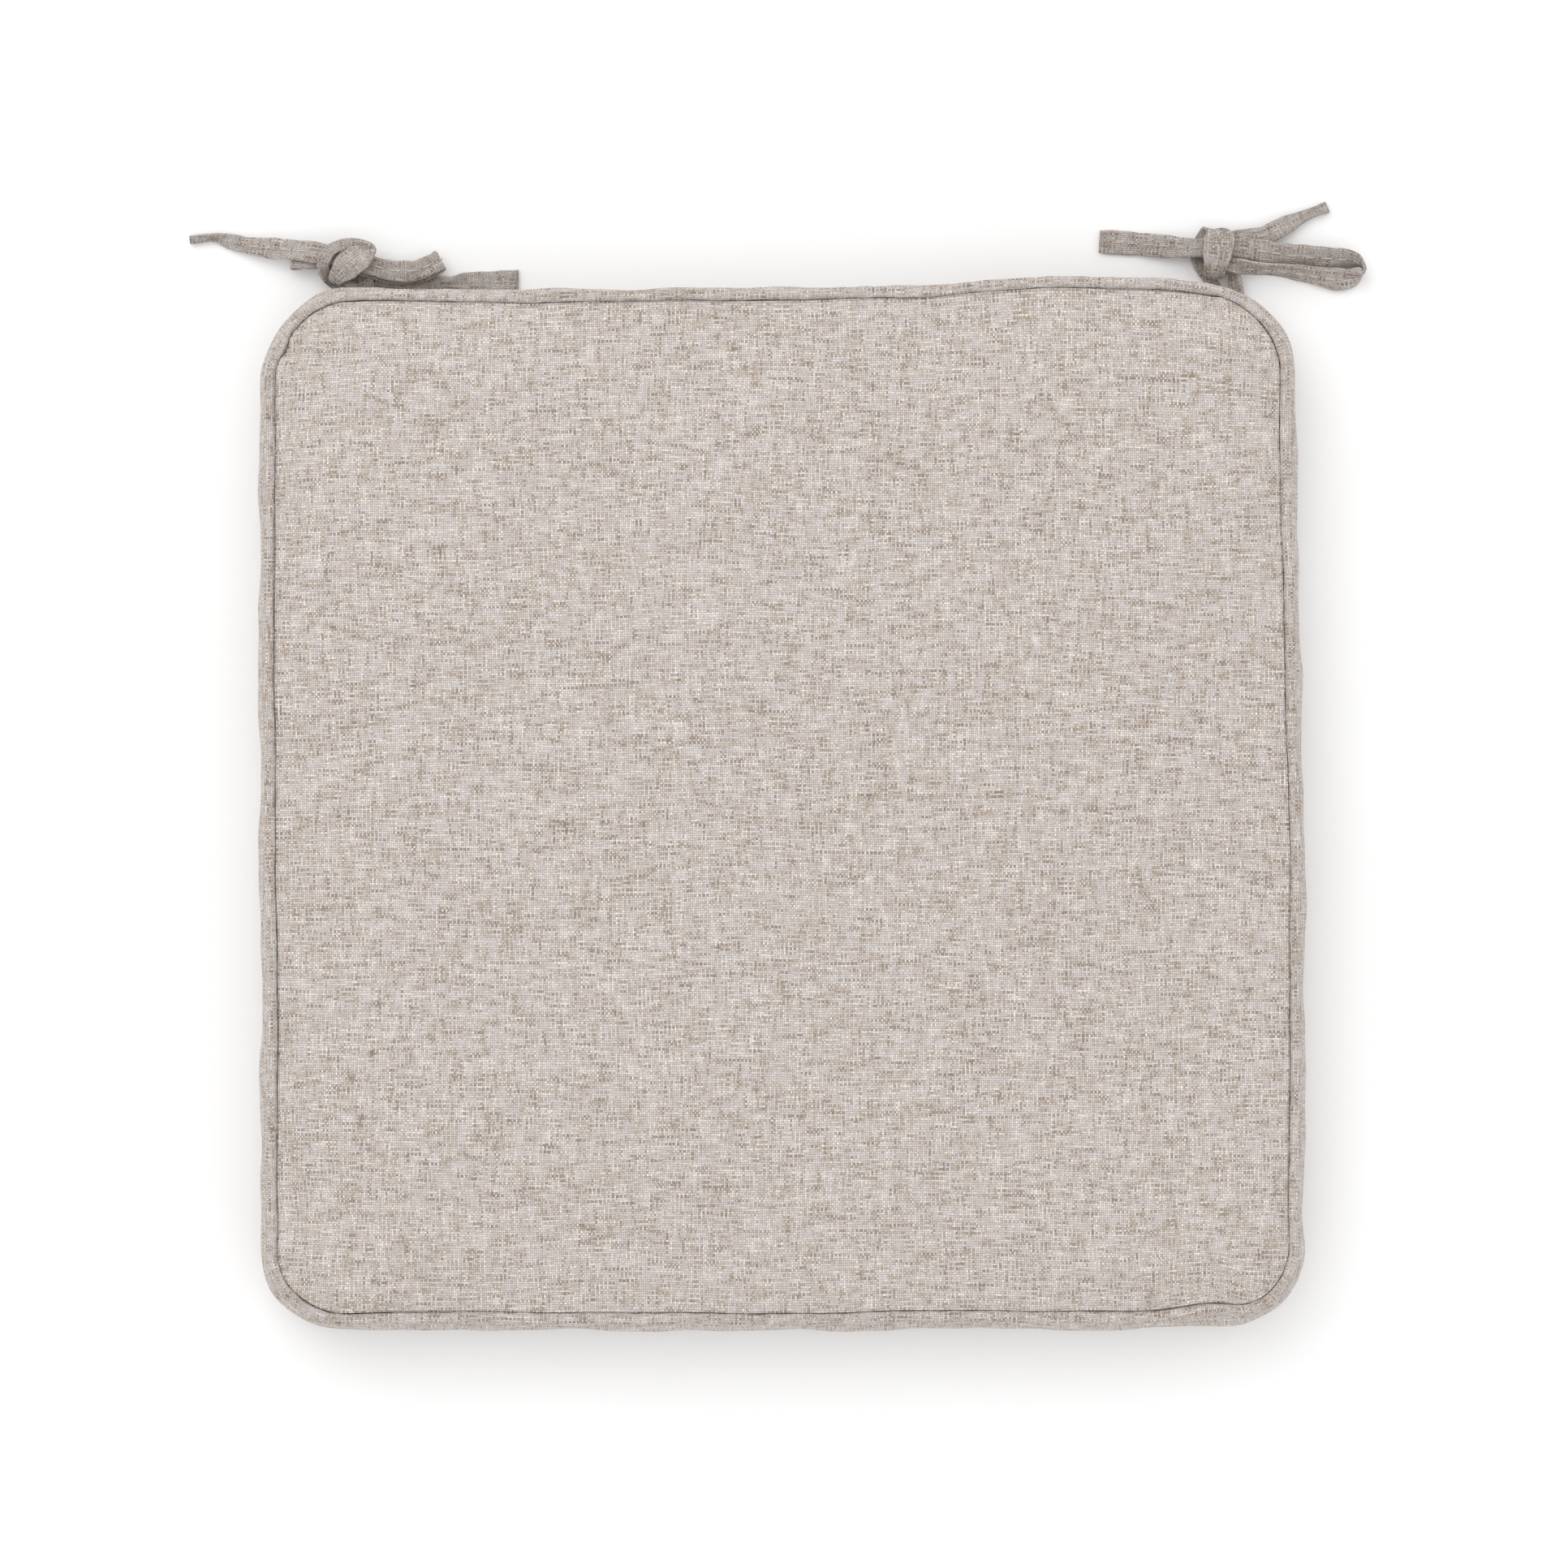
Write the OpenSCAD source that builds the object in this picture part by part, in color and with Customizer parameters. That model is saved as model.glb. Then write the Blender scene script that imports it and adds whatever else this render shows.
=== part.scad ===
// Boxed chair seat pad with piped edges, a zipped back wall and a knotted tie at each back corner.
// Origin: centre of the underside. +Z is up, +Y points to the back edge, where the ties are.

/* [Pad] */
// Width across the bulge of the side walls
pad_w = 420; // [400:5:460]
// Depth across the bulge of the front and back walls
pad_d = 420; // [380:5:460]
// Corner radius of the outline, seen from above
corner_r = 36; // [32:1:45]
// Height between the centres of the two piping cords
wall_h = 31; // [29:1:34]
// Rise of the top panel from its seam to its middle
crown_h = 6; // [3:0.5:9]

/* [Cloth and piping] */
// Thickness of the cover cloth
cloth_t = 0.6; // [0.4:0.1:0.7]
// Outer diameter of the covered piping
piping_d = 5; // [4:0.5:5]

/* [Zip] */
// Length of the zipped panel in the back wall
zip_panel_w = 320; // [200:10:320]
// Half of the gap between the two folded lips
lip_gap = 4.3; // [4:0.1:4.8]
// Length of the slider's pull tab
pull_l = 20; // [14:1:22]

/* [Ties] */
// Width of a tie strap where it lies flat
strap_w = 10; // [8:0.5:10.5]
// Thickness of a tie strap where it lies flat
strap_t = 1.5; // [1:0.1:1.6]
// Distance of each knot from the side of the pad
tie_in = 33; // [28:1:60]

/* [Hidden] */
$fn = 48;
BULGE_FACETS = 96;
mid_z = wall_h / 2 + 3;
// The rims of the wall lie this far in from its widest line
wall_in = 6.2;
// Half height of the bulged wall, and the radius of its arc
wall_half = wall_h / 2 - 2.66;
bulge_r = (wall_in * wall_in + wall_half * wall_half) / (2 * wall_in);
// Seam allowances run from the seam line to this distance from the outline
seam_in = 7.5;
allow_in = 15;
piping_in = 5;
piping_r = piping_d / 2;
piping_cord_r = piping_r - cloth_t;
tail_t = 0.8;
// Heights above the centre of the wall, for the layers of a seam
flange_lo = wall_half + 1.06;
tail_lo = wall_h / 2 - 0.7;
panel_fold_z = wall_h + 3.9;
panel_rim_z = panel_fold_z + cloth_t;
// Foam and wadding
foam_in = 9;
foam_gap = 0.8;
foam_lo = 5.2;
foam_hi = mid_z + wall_half + 0.06;
layer_gap = 0.3;
recess_in = 7.3;
// Inner pieces of a block reach this far under their neighbours, so that they join
lap = 1;
// Zip, measured inward from the widest line of the back wall
coil_in = 3.3;
coil_t = 1.6;
coil_lo = 0.4;
coil_hi = 2.3;
tape_in = 5;
tape_t = 0.5;
tape_lo = 0.6;
tape_hi = wall_half - 2.24;
zip_l = zip_panel_w - 1;
slider_l = 9;
slider_half = 3.2;
slider_heel = 0.6;
plate_t = 0.8;
front_plate_in = 2.2;
back_plate_in = 5.8;
pull_axis_in = 1.5;
pull_t = 0.9;
slider_x = zip_panel_w / 2 - pull_l - 3;
// Hem of each lip, folded back inside the wall
hem_gap = 0.3;
hem_end = 8;
root_y = pad_d / 2 - 2;

// Strap routes from the root of each knot: x, y and z of the centre line,
// the direction of the strap's width, and its width there.
RIGHT_BOW = [
  [8.5, 0.5, 1.5, 1, 0, 0, 7],
  [8.5, 4.5, 3, 1, 0, 0.3, 6],
  [7, 11.5, 6, 0.5, 0.6, 0.6, 5],
  [3, 13.5, 6.5, 0, 1, 0, 5],
  [-2, 14, 6, 0, 1, 0, 5],
  [-4, 14, 7.5, 0, 1, 0, 5],
  [-2, 14, 9, 0, 1, 0, 5],
  [6, 13, 9, 0, 1, 0.3, 6],
  [15, 12, 8, 0, 0.5, 0.9, 8],
  [26, 11.5, 6.5, 0, 0.4, 0.9, 9],
  [37, 10, 5.5, 0, 0.6, 0.8, 9.5],
  [49, 8, 5, 0, 0.8, 0.6, 10],
  [57, 8.5, 5.5, 0.2, 0.5, 0.8, 10],
  [60.5, 12, 6, 0, 0, 1, 10],
  [57, 15.5, 6, -0.2, 0.5, 0.8, 10],
  [47, 16.5, 5.5, 0, 0.8, 0.6, 10],
  [33, 17.5, 6, 0, 0.8, 0.6, 10],
  [20, 19, 7, 0, 1, 0.3, 9],
  [9, 20.5, 7.5, 0, 1, 0, 8],
  [0, 21, 7.5, 0, 1, 0, 7],
  [-9, 20.5, 6.5, 0, 1, 0, 8],
  [-19, 21.5, 4, 0, 1, 0, 9],
  [-32, 23, 1.5, 0, 1, 0, 9.5],
  [-47, 24, 1, 0, 1, 0, 9.5],
];
RIGHT_WRAP = [
  [1, 1.6, 1.2, 1, 0, 0, 6],
  [0.6, 4, 1.2, 1, 0.2, 0, 5.5],
  [-2.5, 9, 1.3, 0.8, 0.5, 0, 5],
  [-6, 13, 1.5, 1, 0.4, 0, 4.5],
  [-7.5, 19, 2, 1, 0, 0, 5],
  [-4.5, 25.5, 4, 1, -0.3, 0.2, 6],
  [-1, 27.5, 8, 1, 0, 0, 8.5],
  [0.8, 24.5, 11.5, 1, 0.1, 0, 12],
  [0.3, 17.5, 12.8, 1, 0.1, 0, 11.5],
  [-0.6, 11, 11.5, 1, 0.1, 0, 9.5],
  [-0.8, 8.5, 7.5, 1, 0, 0, 8.5],
  [1, 11, 3.5, 1, 0, 0, 7.5],
  [2.5, 19, 3.2, 1, -0.2, 0, 6.5],
  [6.5, 24, 3.5, 0.7, -0.7, 0, 6.5],
  [13, 25, 4, 0.2, -1, 0, 7.5],
  [20, 26, 4, 0.2, -1, 0, 8],
  [30, 31, 3, 0.4, -0.9, 0, 7],
  [38, 35, 2, 0.4, -0.9, 0.3, 4.5],
  [46, 38, 2, 0.3, -0.9, 0.3, 4.5],
];
LEFT_BOW = [
  [8.5, 0.5, 1.5, 1, 0, 0, 7],
  [8.5, 4.5, 3.8, 1, 0, 0, 6],
  [6.5, 10.5, 4.4, 0.8, 0.6, 0, 5.5],
  [0, 13.5, 4.6, 0.2, 1, 0, 5.5],
  [-10, 15.5, 4.2, 0, 1, 0, 7],
  [-19, 17, 3.4, 0.2, 1, 0, 10],
  [-21.5, 17, 4.8, 0.2, 1, 0, 10],
  [-19, 17, 6.2, 0.2, 1, 0, 10],
  [-10, 15.5, 6.8, 0, 1, 0, 7],
  [0, 13.5, 7.2, 0, 1, 0, 5.5],
  [9, 11.5, 6.5, 0, 1, 0, 6.5],
  [19, 10, 4.8, 0, 1, 0, 8],
  [28, 10.5, 4, 0, 1, 0, 8.5],
  [35.5, 13.5, 4.2, -0.4, 0.9, 0, 8.5],
  [38, 15.5, 5.5, -0.4, 0.9, 0, 8.5],
  [35.5, 14, 6.9, -0.4, 0.9, 0, 8.5],
  [28, 11, 7, 0, 1, 0, 8.5],
  [19, 11, 8, 0, 1, 0, 8.5],
  [10, 13, 9.4, 0, 1, 0, 8],
  [0, 15.5, 9.8, 0, 1, 0, 7],
  [-10.5, 18, 9.2, 0, 1, 0, 8.5],
  [-21.5, 19.5, 8, 0, 1, 0, 8.5],
  [-30, 20.5, 5.5, 0, 1, 0, 8.5],
  [-40, 22, 3.2, 0, 1, 0, 7],
  [-48, 24, 2, 0, 1, 0.3, 6],
  [-54, 25.5, 2.1, 0, 1, 0.5, 3.5],
  [-64, 24.5, 1.8, 0, 1, 0.3, 3.5],
];
LEFT_WRAP = [
  [-1.6, 1.5, 1.3, 1, 0, 0, 5.5],
  [-1.9, 3.2, 1.4, 1, 0.2, 0, 5],
  [-4.5, 6.6, 2.4, 0.7, 0.7, 0, 5],
  [-7.8, 8.7, 6.6, 0.6, 0.8, 0, 5],
  [-9, 13.3, 11.7, 1, -0.2, 0, 5.5],
  [-6.3, 18.2, 12.7, 0.6, -0.8, 0, 5],
  [-1.5, 20.6, 11.9, 0.3, -1, 0, 5.5],
  [4, 20.9, 11.2, 0, -1, 0, 6],
  [9.3, 18.8, 11.6, -0.8, -0.5, 0, 6.5],
  [6.8, 16.2, 14, -0.8, 0.6, 0, 10],
  [1.6, 12.4, 14.6, -0.7, 0.7, 0, 12],
  [-2.6, 8.6, 12, -0.7, 0.7, 0, 8],
  [-4, 6.5, 8, -1, 0.3, 0, 5],
  [-2, 8, 4.4, -0.7, 0.7, 0, 5],
  [2, 9.5, 1.8, 0, 1, 0, 5.5],
  [9, 9, 1.2, 0, 1, 0, 5.5],
  [20, 8, 1, 0, 1, 0, 7.5],
  [31, 7.5, 1, 0, 1, 0, 7.5],
  [41.5, 7, 2.3, 0, 1, 0.6, 5],
  [51, 7.5, 1, 0, 1, 0, 8],
  [70, 7.5, 0.9, 0, 1, 0, 9.5],
];
STRAP_SIDES = 8;

// Points of a shell's outline in each corner, and how far out its rings lie (1 is the seam)
CORNER_STEPS = 5;
RING_POINTS = 4 * (CORNER_STEPS + 1);
PANEL_STEPS = [0.3, 0.6, 0.75, 0.86, 0.93, 0.97];
WADDING_STEPS = [0.3, 0.6, 0.8, 0.9, 0.95];

cloth_colour = "#c8bfb7";
foam_colour = "#efe6c8";
wadding_colour = "#f6f5f1";
cord_colour = "#e9e4d8";
zip_colour = "#c2b6a9";
metal_colour = "#b9bbbe";

// ---- Sweeps round the outline. A section is drawn at x = -inset and y = height. ----

module side_run(half_across, length) {
  translate([half_across, length / 2, 0])
    rotate([90, 0, 0])
      linear_extrude(length) children();
}

module corner_run(half_across, half_along) {
  translate([half_across - corner_r, half_along - corner_r, 0])
    rotate_extrude(angle = 90)
      translate([corner_r, 0]) children();
}

module all_corners() {
  for (k = [0:3]) {
    across = k % 2 == 0 ? pad_w / 2 : pad_d / 2;
    along = k % 2 == 0 ? pad_d / 2 : pad_w / 2;
    rotate(90 * k) corner_run(across, along) children();
  }
}

module all_sides(from = 0, step = 1) {
  for (k = [from:step:3]) {
    across = k % 2 == 0 ? pad_w / 2 : pad_d / 2;
    along = k % 2 == 0 ? pad_d / 2 : pad_w / 2;
    rotate(90 * k) side_run(across, 2 * (along - corner_r)) children();
  }
}

module round_the_pad() {
  all_corners() children();
  all_sides() children();
}

module along_back(length, x = 0) {
  translate([x, 0, 0]) rotate(90) side_run(pad_d / 2, length) children();
}

// ---- Sections ----

// Cloth folded round the cord, and the two layers of its tail as one.
module piping_ring_section(height, tail_z) {
  tail_join = 0.6;
  cord_gap = 0.1;
  difference() {
    union() {
      translate([-piping_in, height]) circle(piping_r);
      translate([-allow_in, tail_z])
        square([allow_in - piping_in - piping_r + tail_join, tail_t]);
    }
    translate([-piping_in, height]) circle(piping_cord_r + cord_gap);
  }
}

// Half of the wall above the middle height: the bulge, then the allowance under the piping.
module half_wall_section(lip = 0) {
  corner_out = 0.4;
  corner_in = 0.7;
  bulge_band(0, cloth_t, lip, wall_half + 1);
  polygon([
    [-wall_in, wall_half - 1.25 * cloth_t], [-wall_in, wall_half],
    [-seam_in - corner_out, flange_lo + cloth_t], [-allow_in, flange_lo + cloth_t],
    [-allow_in, flange_lo], [-seam_in - corner_in, flange_lo],
  ]);
}

// Band of the bulge from depth out to depth in, between two heights above the middle.
module bulge_band(out, in, from, to) {
  intersection() {
    difference() {
      translate([-bulge_r, 0]) circle(bulge_r - out, $fn = BULGE_FACETS);
      translate([-bulge_r, 0]) circle(bulge_r - in, $fn = BULGE_FACETS);
    }
    translate([-wall_in, from]) square([wall_in, to - from]);
  }
}

module hem_section() {
  hem_in = 2 * cloth_t + hem_gap;
  bulge_band(cloth_t + hem_gap, hem_in, lip_gap, hem_end);
  bulge_band(0, hem_in, lip_gap, lip_gap + cloth_t);
}

module wall_section() {
  translate([0, mid_z]) {
    half_wall_section();
    mirror([0, 1]) half_wall_section();
  }
}

// ---- Closed crowned shells, from rings that shrink towards the middle ----

function outline_ring(s, z) = [
  for (k = [0:3])
    for (j = [0:CORNER_STEPS])
      let (
        a = 90 * k + 90 * j / CORNER_STEPS,
        cx = (k == 0 || k == 3 ? 1 : -1) * (pad_w / 2 - corner_r),
        cy = (k < 2 ? 1 : -1) * (pad_d / 2 - corner_r),
        r = corner_r - seam_in
      )
      [s * (cx + r * cos(a)), s * (cy + r * sin(a)), z]
];

function crown(s) = panel_rim_z + crown_h * (1 - pow(s, 6));

// profile is a list of [s, z] from the pole of the top to the pole of the underside
module crowned_shell(profile, top_z, under_z) {
  rings = [for (p = profile) outline_ring(p[0], p[1])];
  count = len(profile);
  points = concat([[0, 0, top_z]], [for (r = rings) for (p = r) p], [[0, 0, under_z]]);
  last = count * RING_POINTS + 1;
  faces = concat(
    [for (i = [0:RING_POINTS - 1]) [0, 1 + (i + 1) % RING_POINTS, 1 + i]],
    [
      for (r = [0:count - 2])
        for (i = [0:RING_POINTS - 1])
          let (
            a = 1 + r * RING_POINTS + i,
            b = 1 + r * RING_POINTS + (i + 1) % RING_POINTS
          )
          each [[a, b, b + RING_POINTS], [a, b + RING_POINTS, a + RING_POINTS]]
    ],
    [
      for (i = [0:RING_POINTS - 1])
        [last, last - RING_POINTS + i, last - RING_POINTS + (i + 1) % RING_POINTS]
    ]
  );
  polyhedron(points, faces);
}

// ---- Cover ----

// The panel's rim is folded down and its allowance lies flat on the piping's tail.
module top_panel() {
  allow_s = (pad_w / 2 - allow_in) / (pad_w / 2 - seam_in);
  outer = [for (s = PANEL_STEPS) [s, crown(s)]];
  inner = [for (i = [len(PANEL_STEPS) - 1:-1:0]) [PANEL_STEPS[i], crown(PANEL_STEPS[i]) - cloth_t]];
  fold = [
    [0.997, panel_rim_z],
    [0.999, panel_fold_z],
    [0.997, panel_fold_z - cloth_t],
    [allow_s, panel_fold_z - cloth_t],
    [allow_s, panel_fold_z],
    [0.994, panel_fold_z + 0.05],
  ];
  color(cloth_colour)
    crowned_shell(concat(outer, fold, inner), crown(0), crown(0) - cloth_t);
}

// The folded rim of the bottom panel stands up beside the piping and turns inward.
module bottom_panel() {
  rim_hi = 2.7;
  rim_in = seam_in + 0.2;
  color(cloth_colour) {
    round_the_pad()
      polygon([
        [-rim_in, 0], [-rim_in, rim_hi], [-allow_in, rim_hi],
        [-allow_in, rim_hi - cloth_t], [-rim_in - cloth_t, rim_hi - cloth_t],
        [-rim_in - cloth_t, cloth_t], [-corner_r + lap, cloth_t], [-corner_r + lap, 0],
      ]);
    middle_block(0, cloth_t);
  }
}

// Square middle of a piece that is swept round the outline, between two heights.
module middle_block(from, to) {
  in = corner_r - 1.5 * lap;
  translate([in - pad_w / 2, in - pad_d / 2, from])
    cube([pad_w - 2 * in, pad_d - 2 * in, to - from]);
}

// One strip round the front, both sides and the corners, with a short return at the back.
module side_boxing() {
  return_l = pad_w / 2 - corner_r - zip_panel_w / 2;
  color(cloth_colour) {
    all_corners() wall_section();
    all_sides(0, 2) wall_section();
    rotate(180) along_back(pad_w - 2 * corner_r) wall_section();
    for (side = [-1, 1])
      along_back(return_l, side * (zip_panel_w + return_l) / 2) wall_section();
  }
}

module rear_boxing_half() {
  end_gap = 0.2;
  along_back(zip_panel_w - 2 * end_gap) {
    half_wall_section(lip_gap);
    hem_section();
  }
}

module rear_boxing_upper() {
  color(cloth_colour) translate([0, 0, mid_z]) rear_boxing_half();
}

module rear_boxing_lower() {
  color(cloth_colour) translate([0, 0, mid_z]) mirror([0, 0, 1]) rear_boxing_half();
}

module top_piping_cover() {
  height = mid_z + wall_h / 2;
  color(cloth_colour) round_the_pad() piping_ring_section(height, mid_z + tail_lo);
}

module bottom_piping_cover() {
  height = mid_z - wall_h / 2;
  color(cloth_colour)
    round_the_pad() piping_ring_section(height, mid_z - tail_lo - tail_t);
}

module piping_cord(height) {
  color(cord_colour)
    round_the_pad() translate([-piping_in, height]) circle(piping_cord_r, $fn = 32);
}

module top_piping_cord() {
  piping_cord(mid_z + wall_h / 2);
}

module bottom_piping_cord() {
  piping_cord(mid_z - wall_h / 2);
}

// ---- Filling ----

// Foam block with rounded sides that push the wall out, cut back behind the zip.
module foam_core() {
  foam_t = foam_hi - foam_lo;
  edge_in = corner_r - lap / 2;
  color(foam_colour)
    difference() {
      union() {
        round_the_pad()
          intersection() {
            union() {
              translate([-bulge_r, mid_z])
                circle(bulge_r - cloth_t - foam_gap, $fn = BULGE_FACETS);
              translate([-edge_in, foam_lo]) square([corner_r - bulge_r, foam_t]);
            }
            translate([-edge_in, foam_lo]) square([corner_r, foam_t]);
          }
        middle_block(foam_lo, foam_hi);
      }
      translate([-zip_panel_w / 2, pad_d / 2 - recess_in, 0])
        cube([zip_panel_w, recess_in, 2 * mid_z]);
    }
}

module top_wadding() {
  under = foam_hi + layer_gap;
  cover = cloth_t + layer_gap;
  side = WADDING_STEPS[len(WADDING_STEPS) - 1];
  color(wadding_colour)
    crowned_shell(
      concat([for (s = WADDING_STEPS) [s, crown(s) - cover]], [[side, under]]),
      crown(0) - cover, under
    );
}

module bottom_wadding() {
  in = allow_in + 2 * layer_gap;
  color(wadding_colour)
    translate([0, 0, cloth_t + layer_gap])
      linear_extrude(foam_lo - cloth_t - 2 * layer_gap)
        union() {
          for (x = [-1, 1])
            for (y = [-1, 1])
              translate([x * (pad_w / 2 - corner_r), y * (pad_d / 2 - corner_r)])
                circle(corner_r - in);
          square([pad_w - 2 * in, pad_d - 2 * corner_r], center = true);
          square([pad_w - 2 * corner_r, pad_d - 2 * in], center = true);
        }
}

// ---- Zip ----

// A straight bar of the zip, on the upper (side = 1) or lower (side = -1) lip.
module zip_bar(in, thick, lo, hi, side) {
  translate([-zip_l / 2, pad_d / 2 - in - thick, side > 0 ? mid_z + lo : mid_z - hi])
    cube([zip_l, thick, hi - lo]);
}

module zip_tape_upper() {
  color(zip_colour) zip_bar(tape_in, tape_t, tape_lo, tape_hi, 1);
}

module zip_tape_lower() {
  color(zip_colour) zip_bar(tape_in, tape_t, tape_lo, tape_hi, -1);
}

module zip_coil_upper() {
  color(zip_colour) zip_bar(coil_in, coil_t, coil_lo, coil_hi, 1);
}

module zip_coil_lower() {
  color(zip_colour) zip_bar(coil_in, coil_t, coil_lo, coil_hi, -1);
}

module slider_plate(in) {
  nose = 1.6;
  heel = slider_heel;
  translate([0, -in, 0])
    rotate([90, 0, 0])
      linear_extrude(plate_t)
        polygon([
          [-slider_l / 2, -slider_half + heel], [-slider_l / 2 + heel, -slider_half],
          [slider_l / 2 - nose, -slider_half], [slider_l / 2, -slider_half + nose],
          [slider_l / 2, slider_half - nose], [slider_l / 2 - nose, slider_half],
          [-slider_l / 2 + heel, slider_half], [-slider_l / 2, slider_half - heel],
        ]);
}

// Two plates round the coil, a thin web between the two coil rows, side flanges and a bridge.
module zip_slider() {
  web_l = 3;
  web_t = 0.4;
  flange_t = 0.6;
  flange_l = slider_l - 2.2;
  bridge_w = 1.6;
  bridge_half = 3.4;
  bridge_out = 0.1;
  window_half = 2.5;
  window_out = 0.9;
  color(metal_colour)
    translate([slider_x, pad_d / 2, mid_z]) {
      slider_plate(front_plate_in);
      slider_plate(back_plate_in);
      translate([slider_l / 2 - web_l - slider_heel, -back_plate_in - plate_t / 2, -web_t / 2])
        cube([web_l, back_plate_in - front_plate_in, web_t]);
      for (side = [-1, 1])
        translate([-slider_l / 2 + slider_heel, 0.4 - tape_in, side * (slider_half - flange_t / 2)])
          translate([0, 0, -flange_t / 2])
            cube([flange_l, tape_in - front_plate_in - 0.6, flange_t]);
      translate([0, 0, -bridge_w / 2])
        linear_extrude(bridge_w)
          difference() {
            polygon([
              [-bridge_half, -front_plate_in - 0.2], [-bridge_half, -1],
              [-window_half, -bridge_out], [window_half, -bridge_out],
              [bridge_half, -1], [bridge_half, -front_plate_in - 0.2],
            ]);
            translate([-window_half, -front_plate_in])
              square([2 * window_half, front_plate_in - window_out]);
          }
    }
}

// Flat tab with a window round the bridge. Its round crossbar turns under the bridge.
module zip_pull_tab() {
  bar_r = 0.5;
  arm_out = 2.2;
  arm_in = 1.3;
  tab_half = 3;
  hole_r = 1.2;
  window_l = 4.2;
  color(metal_colour)
    translate([slider_x, pad_d / 2 - pull_axis_in, mid_z]) {
      cylinder(h = 2 * arm_out, r = bar_r, center = true);
      rotate([90, 0, 0])
        translate([0, 0, -pull_t / 2])
          linear_extrude(pull_t)
            difference() {
              union() {
                translate([-window_l - 1, -arm_out]) square([window_l + 1, 2 * arm_out]);
                translate([-pull_l + tab_half, -tab_half])
                  square([pull_l - tab_half - window_l, 2 * tab_half]);
                translate([-pull_l + tab_half, 0]) circle(tab_half);
              }
              translate([-window_l, -arm_in]) square([window_l + 1, 2 * arm_in]);
              translate([-pull_l + tab_half, 0]) circle(hole_r);
            }
    }
}

// ---- Ties ----

function unit(v) = v / norm(v);
function point_of(p) = [p[0], p[1], p[2]];
// Direction of the route at point i
function heading(route, i) =
  unit(point_of(route[min(i + 1, len(route) - 1)]) - point_of(route[max(i - 1, 0)]));
// The routes give widths for this strap. Bunched cloth is thicker than the flat strap.
ROUTE_STRAP_W = 10;
function strap_thick(w) = strap_t * sqrt(max(1, ROUTE_STRAP_W / w));

function strap_ring(route, i) =
  let (
    t = heading(route, i),
    u0 = [route[i][3], route[i][4], route[i][5]],
    u = unit(u0 - (u0 * t) * t),
    n = cross(t, u),
    w = route[i][6] * strap_w / ROUTE_STRAP_W,
    h = strap_thick(route[i][6])
  )
  [
    for (k = [0:STRAP_SIDES - 1])
      let (
        a = 360 * (k + 0.5) / STRAP_SIDES,
        x = sign(cos(a)) * pow(abs(cos(a)), 0.35),
        y = sign(sin(a)) * pow(abs(sin(a)), 0.5)
      )
      point_of(route[i]) + x * w / 2 * u + y * h / 2 * n
  ];

module strap(route) {
  count = len(route);
  m = STRAP_SIDES;
  points = [for (i = [0:count - 1]) each strap_ring(route, i)];
  faces = concat(
    [[for (k = [0:m - 1]) k]],
    [
      for (i = [0:count - 2])
        for (k = [0:m - 1])
          let (a = i * m + k, b = i * m + (k + 1) % m)
          each [[a, a + m, b + m], [a, b + m, b]]
    ],
    [[for (k = [m - 1:-1:0]) (count - 1) * m + k]]
  );
  color(cloth_colour) polyhedron(points, faces);
}

module at_knot(side) {
  translate([side * (pad_w / 2 - tie_in), root_y, 0]) children();
}

module left_tie_bow_strap() {
  at_knot(-1) strap(LEFT_BOW);
}

module left_tie_wrap_strap() {
  at_knot(-1) strap(LEFT_WRAP);
}

module right_tie_bow_strap() {
  at_knot(1) strap(RIGHT_BOW);
}

module right_tie_wrap_strap() {
  at_knot(1) strap(RIGHT_WRAP);
}

top_panel();
bottom_panel();
side_boxing();
rear_boxing_upper();
rear_boxing_lower();
top_piping_cover();
top_piping_cord();
bottom_piping_cover();
bottom_piping_cord();
foam_core();
top_wadding();
bottom_wadding();
zip_tape_upper();
zip_tape_lower();
zip_coil_upper();
zip_coil_lower();
zip_slider();
zip_pull_tab();
left_tie_bow_strap();
left_tie_wrap_strap();
right_tie_bow_strap();
right_tie_wrap_strap();
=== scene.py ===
import math

import bmesh
import bpy
import numpy as np
from mathutils import Matrix, Vector


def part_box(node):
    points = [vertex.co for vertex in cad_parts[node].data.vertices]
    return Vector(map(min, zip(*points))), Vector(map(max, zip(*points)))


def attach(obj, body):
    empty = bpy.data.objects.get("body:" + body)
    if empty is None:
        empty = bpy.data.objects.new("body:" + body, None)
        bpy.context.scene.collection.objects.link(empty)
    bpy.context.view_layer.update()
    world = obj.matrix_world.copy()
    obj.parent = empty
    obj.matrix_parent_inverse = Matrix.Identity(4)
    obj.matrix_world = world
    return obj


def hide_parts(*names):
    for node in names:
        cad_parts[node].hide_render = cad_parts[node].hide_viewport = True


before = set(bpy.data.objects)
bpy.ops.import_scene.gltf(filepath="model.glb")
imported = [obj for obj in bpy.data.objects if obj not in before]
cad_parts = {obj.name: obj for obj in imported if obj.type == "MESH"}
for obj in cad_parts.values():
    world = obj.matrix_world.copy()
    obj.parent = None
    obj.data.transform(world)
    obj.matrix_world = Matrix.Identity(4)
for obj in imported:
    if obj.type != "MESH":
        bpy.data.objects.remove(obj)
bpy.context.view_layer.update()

MM = 0.001

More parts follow.
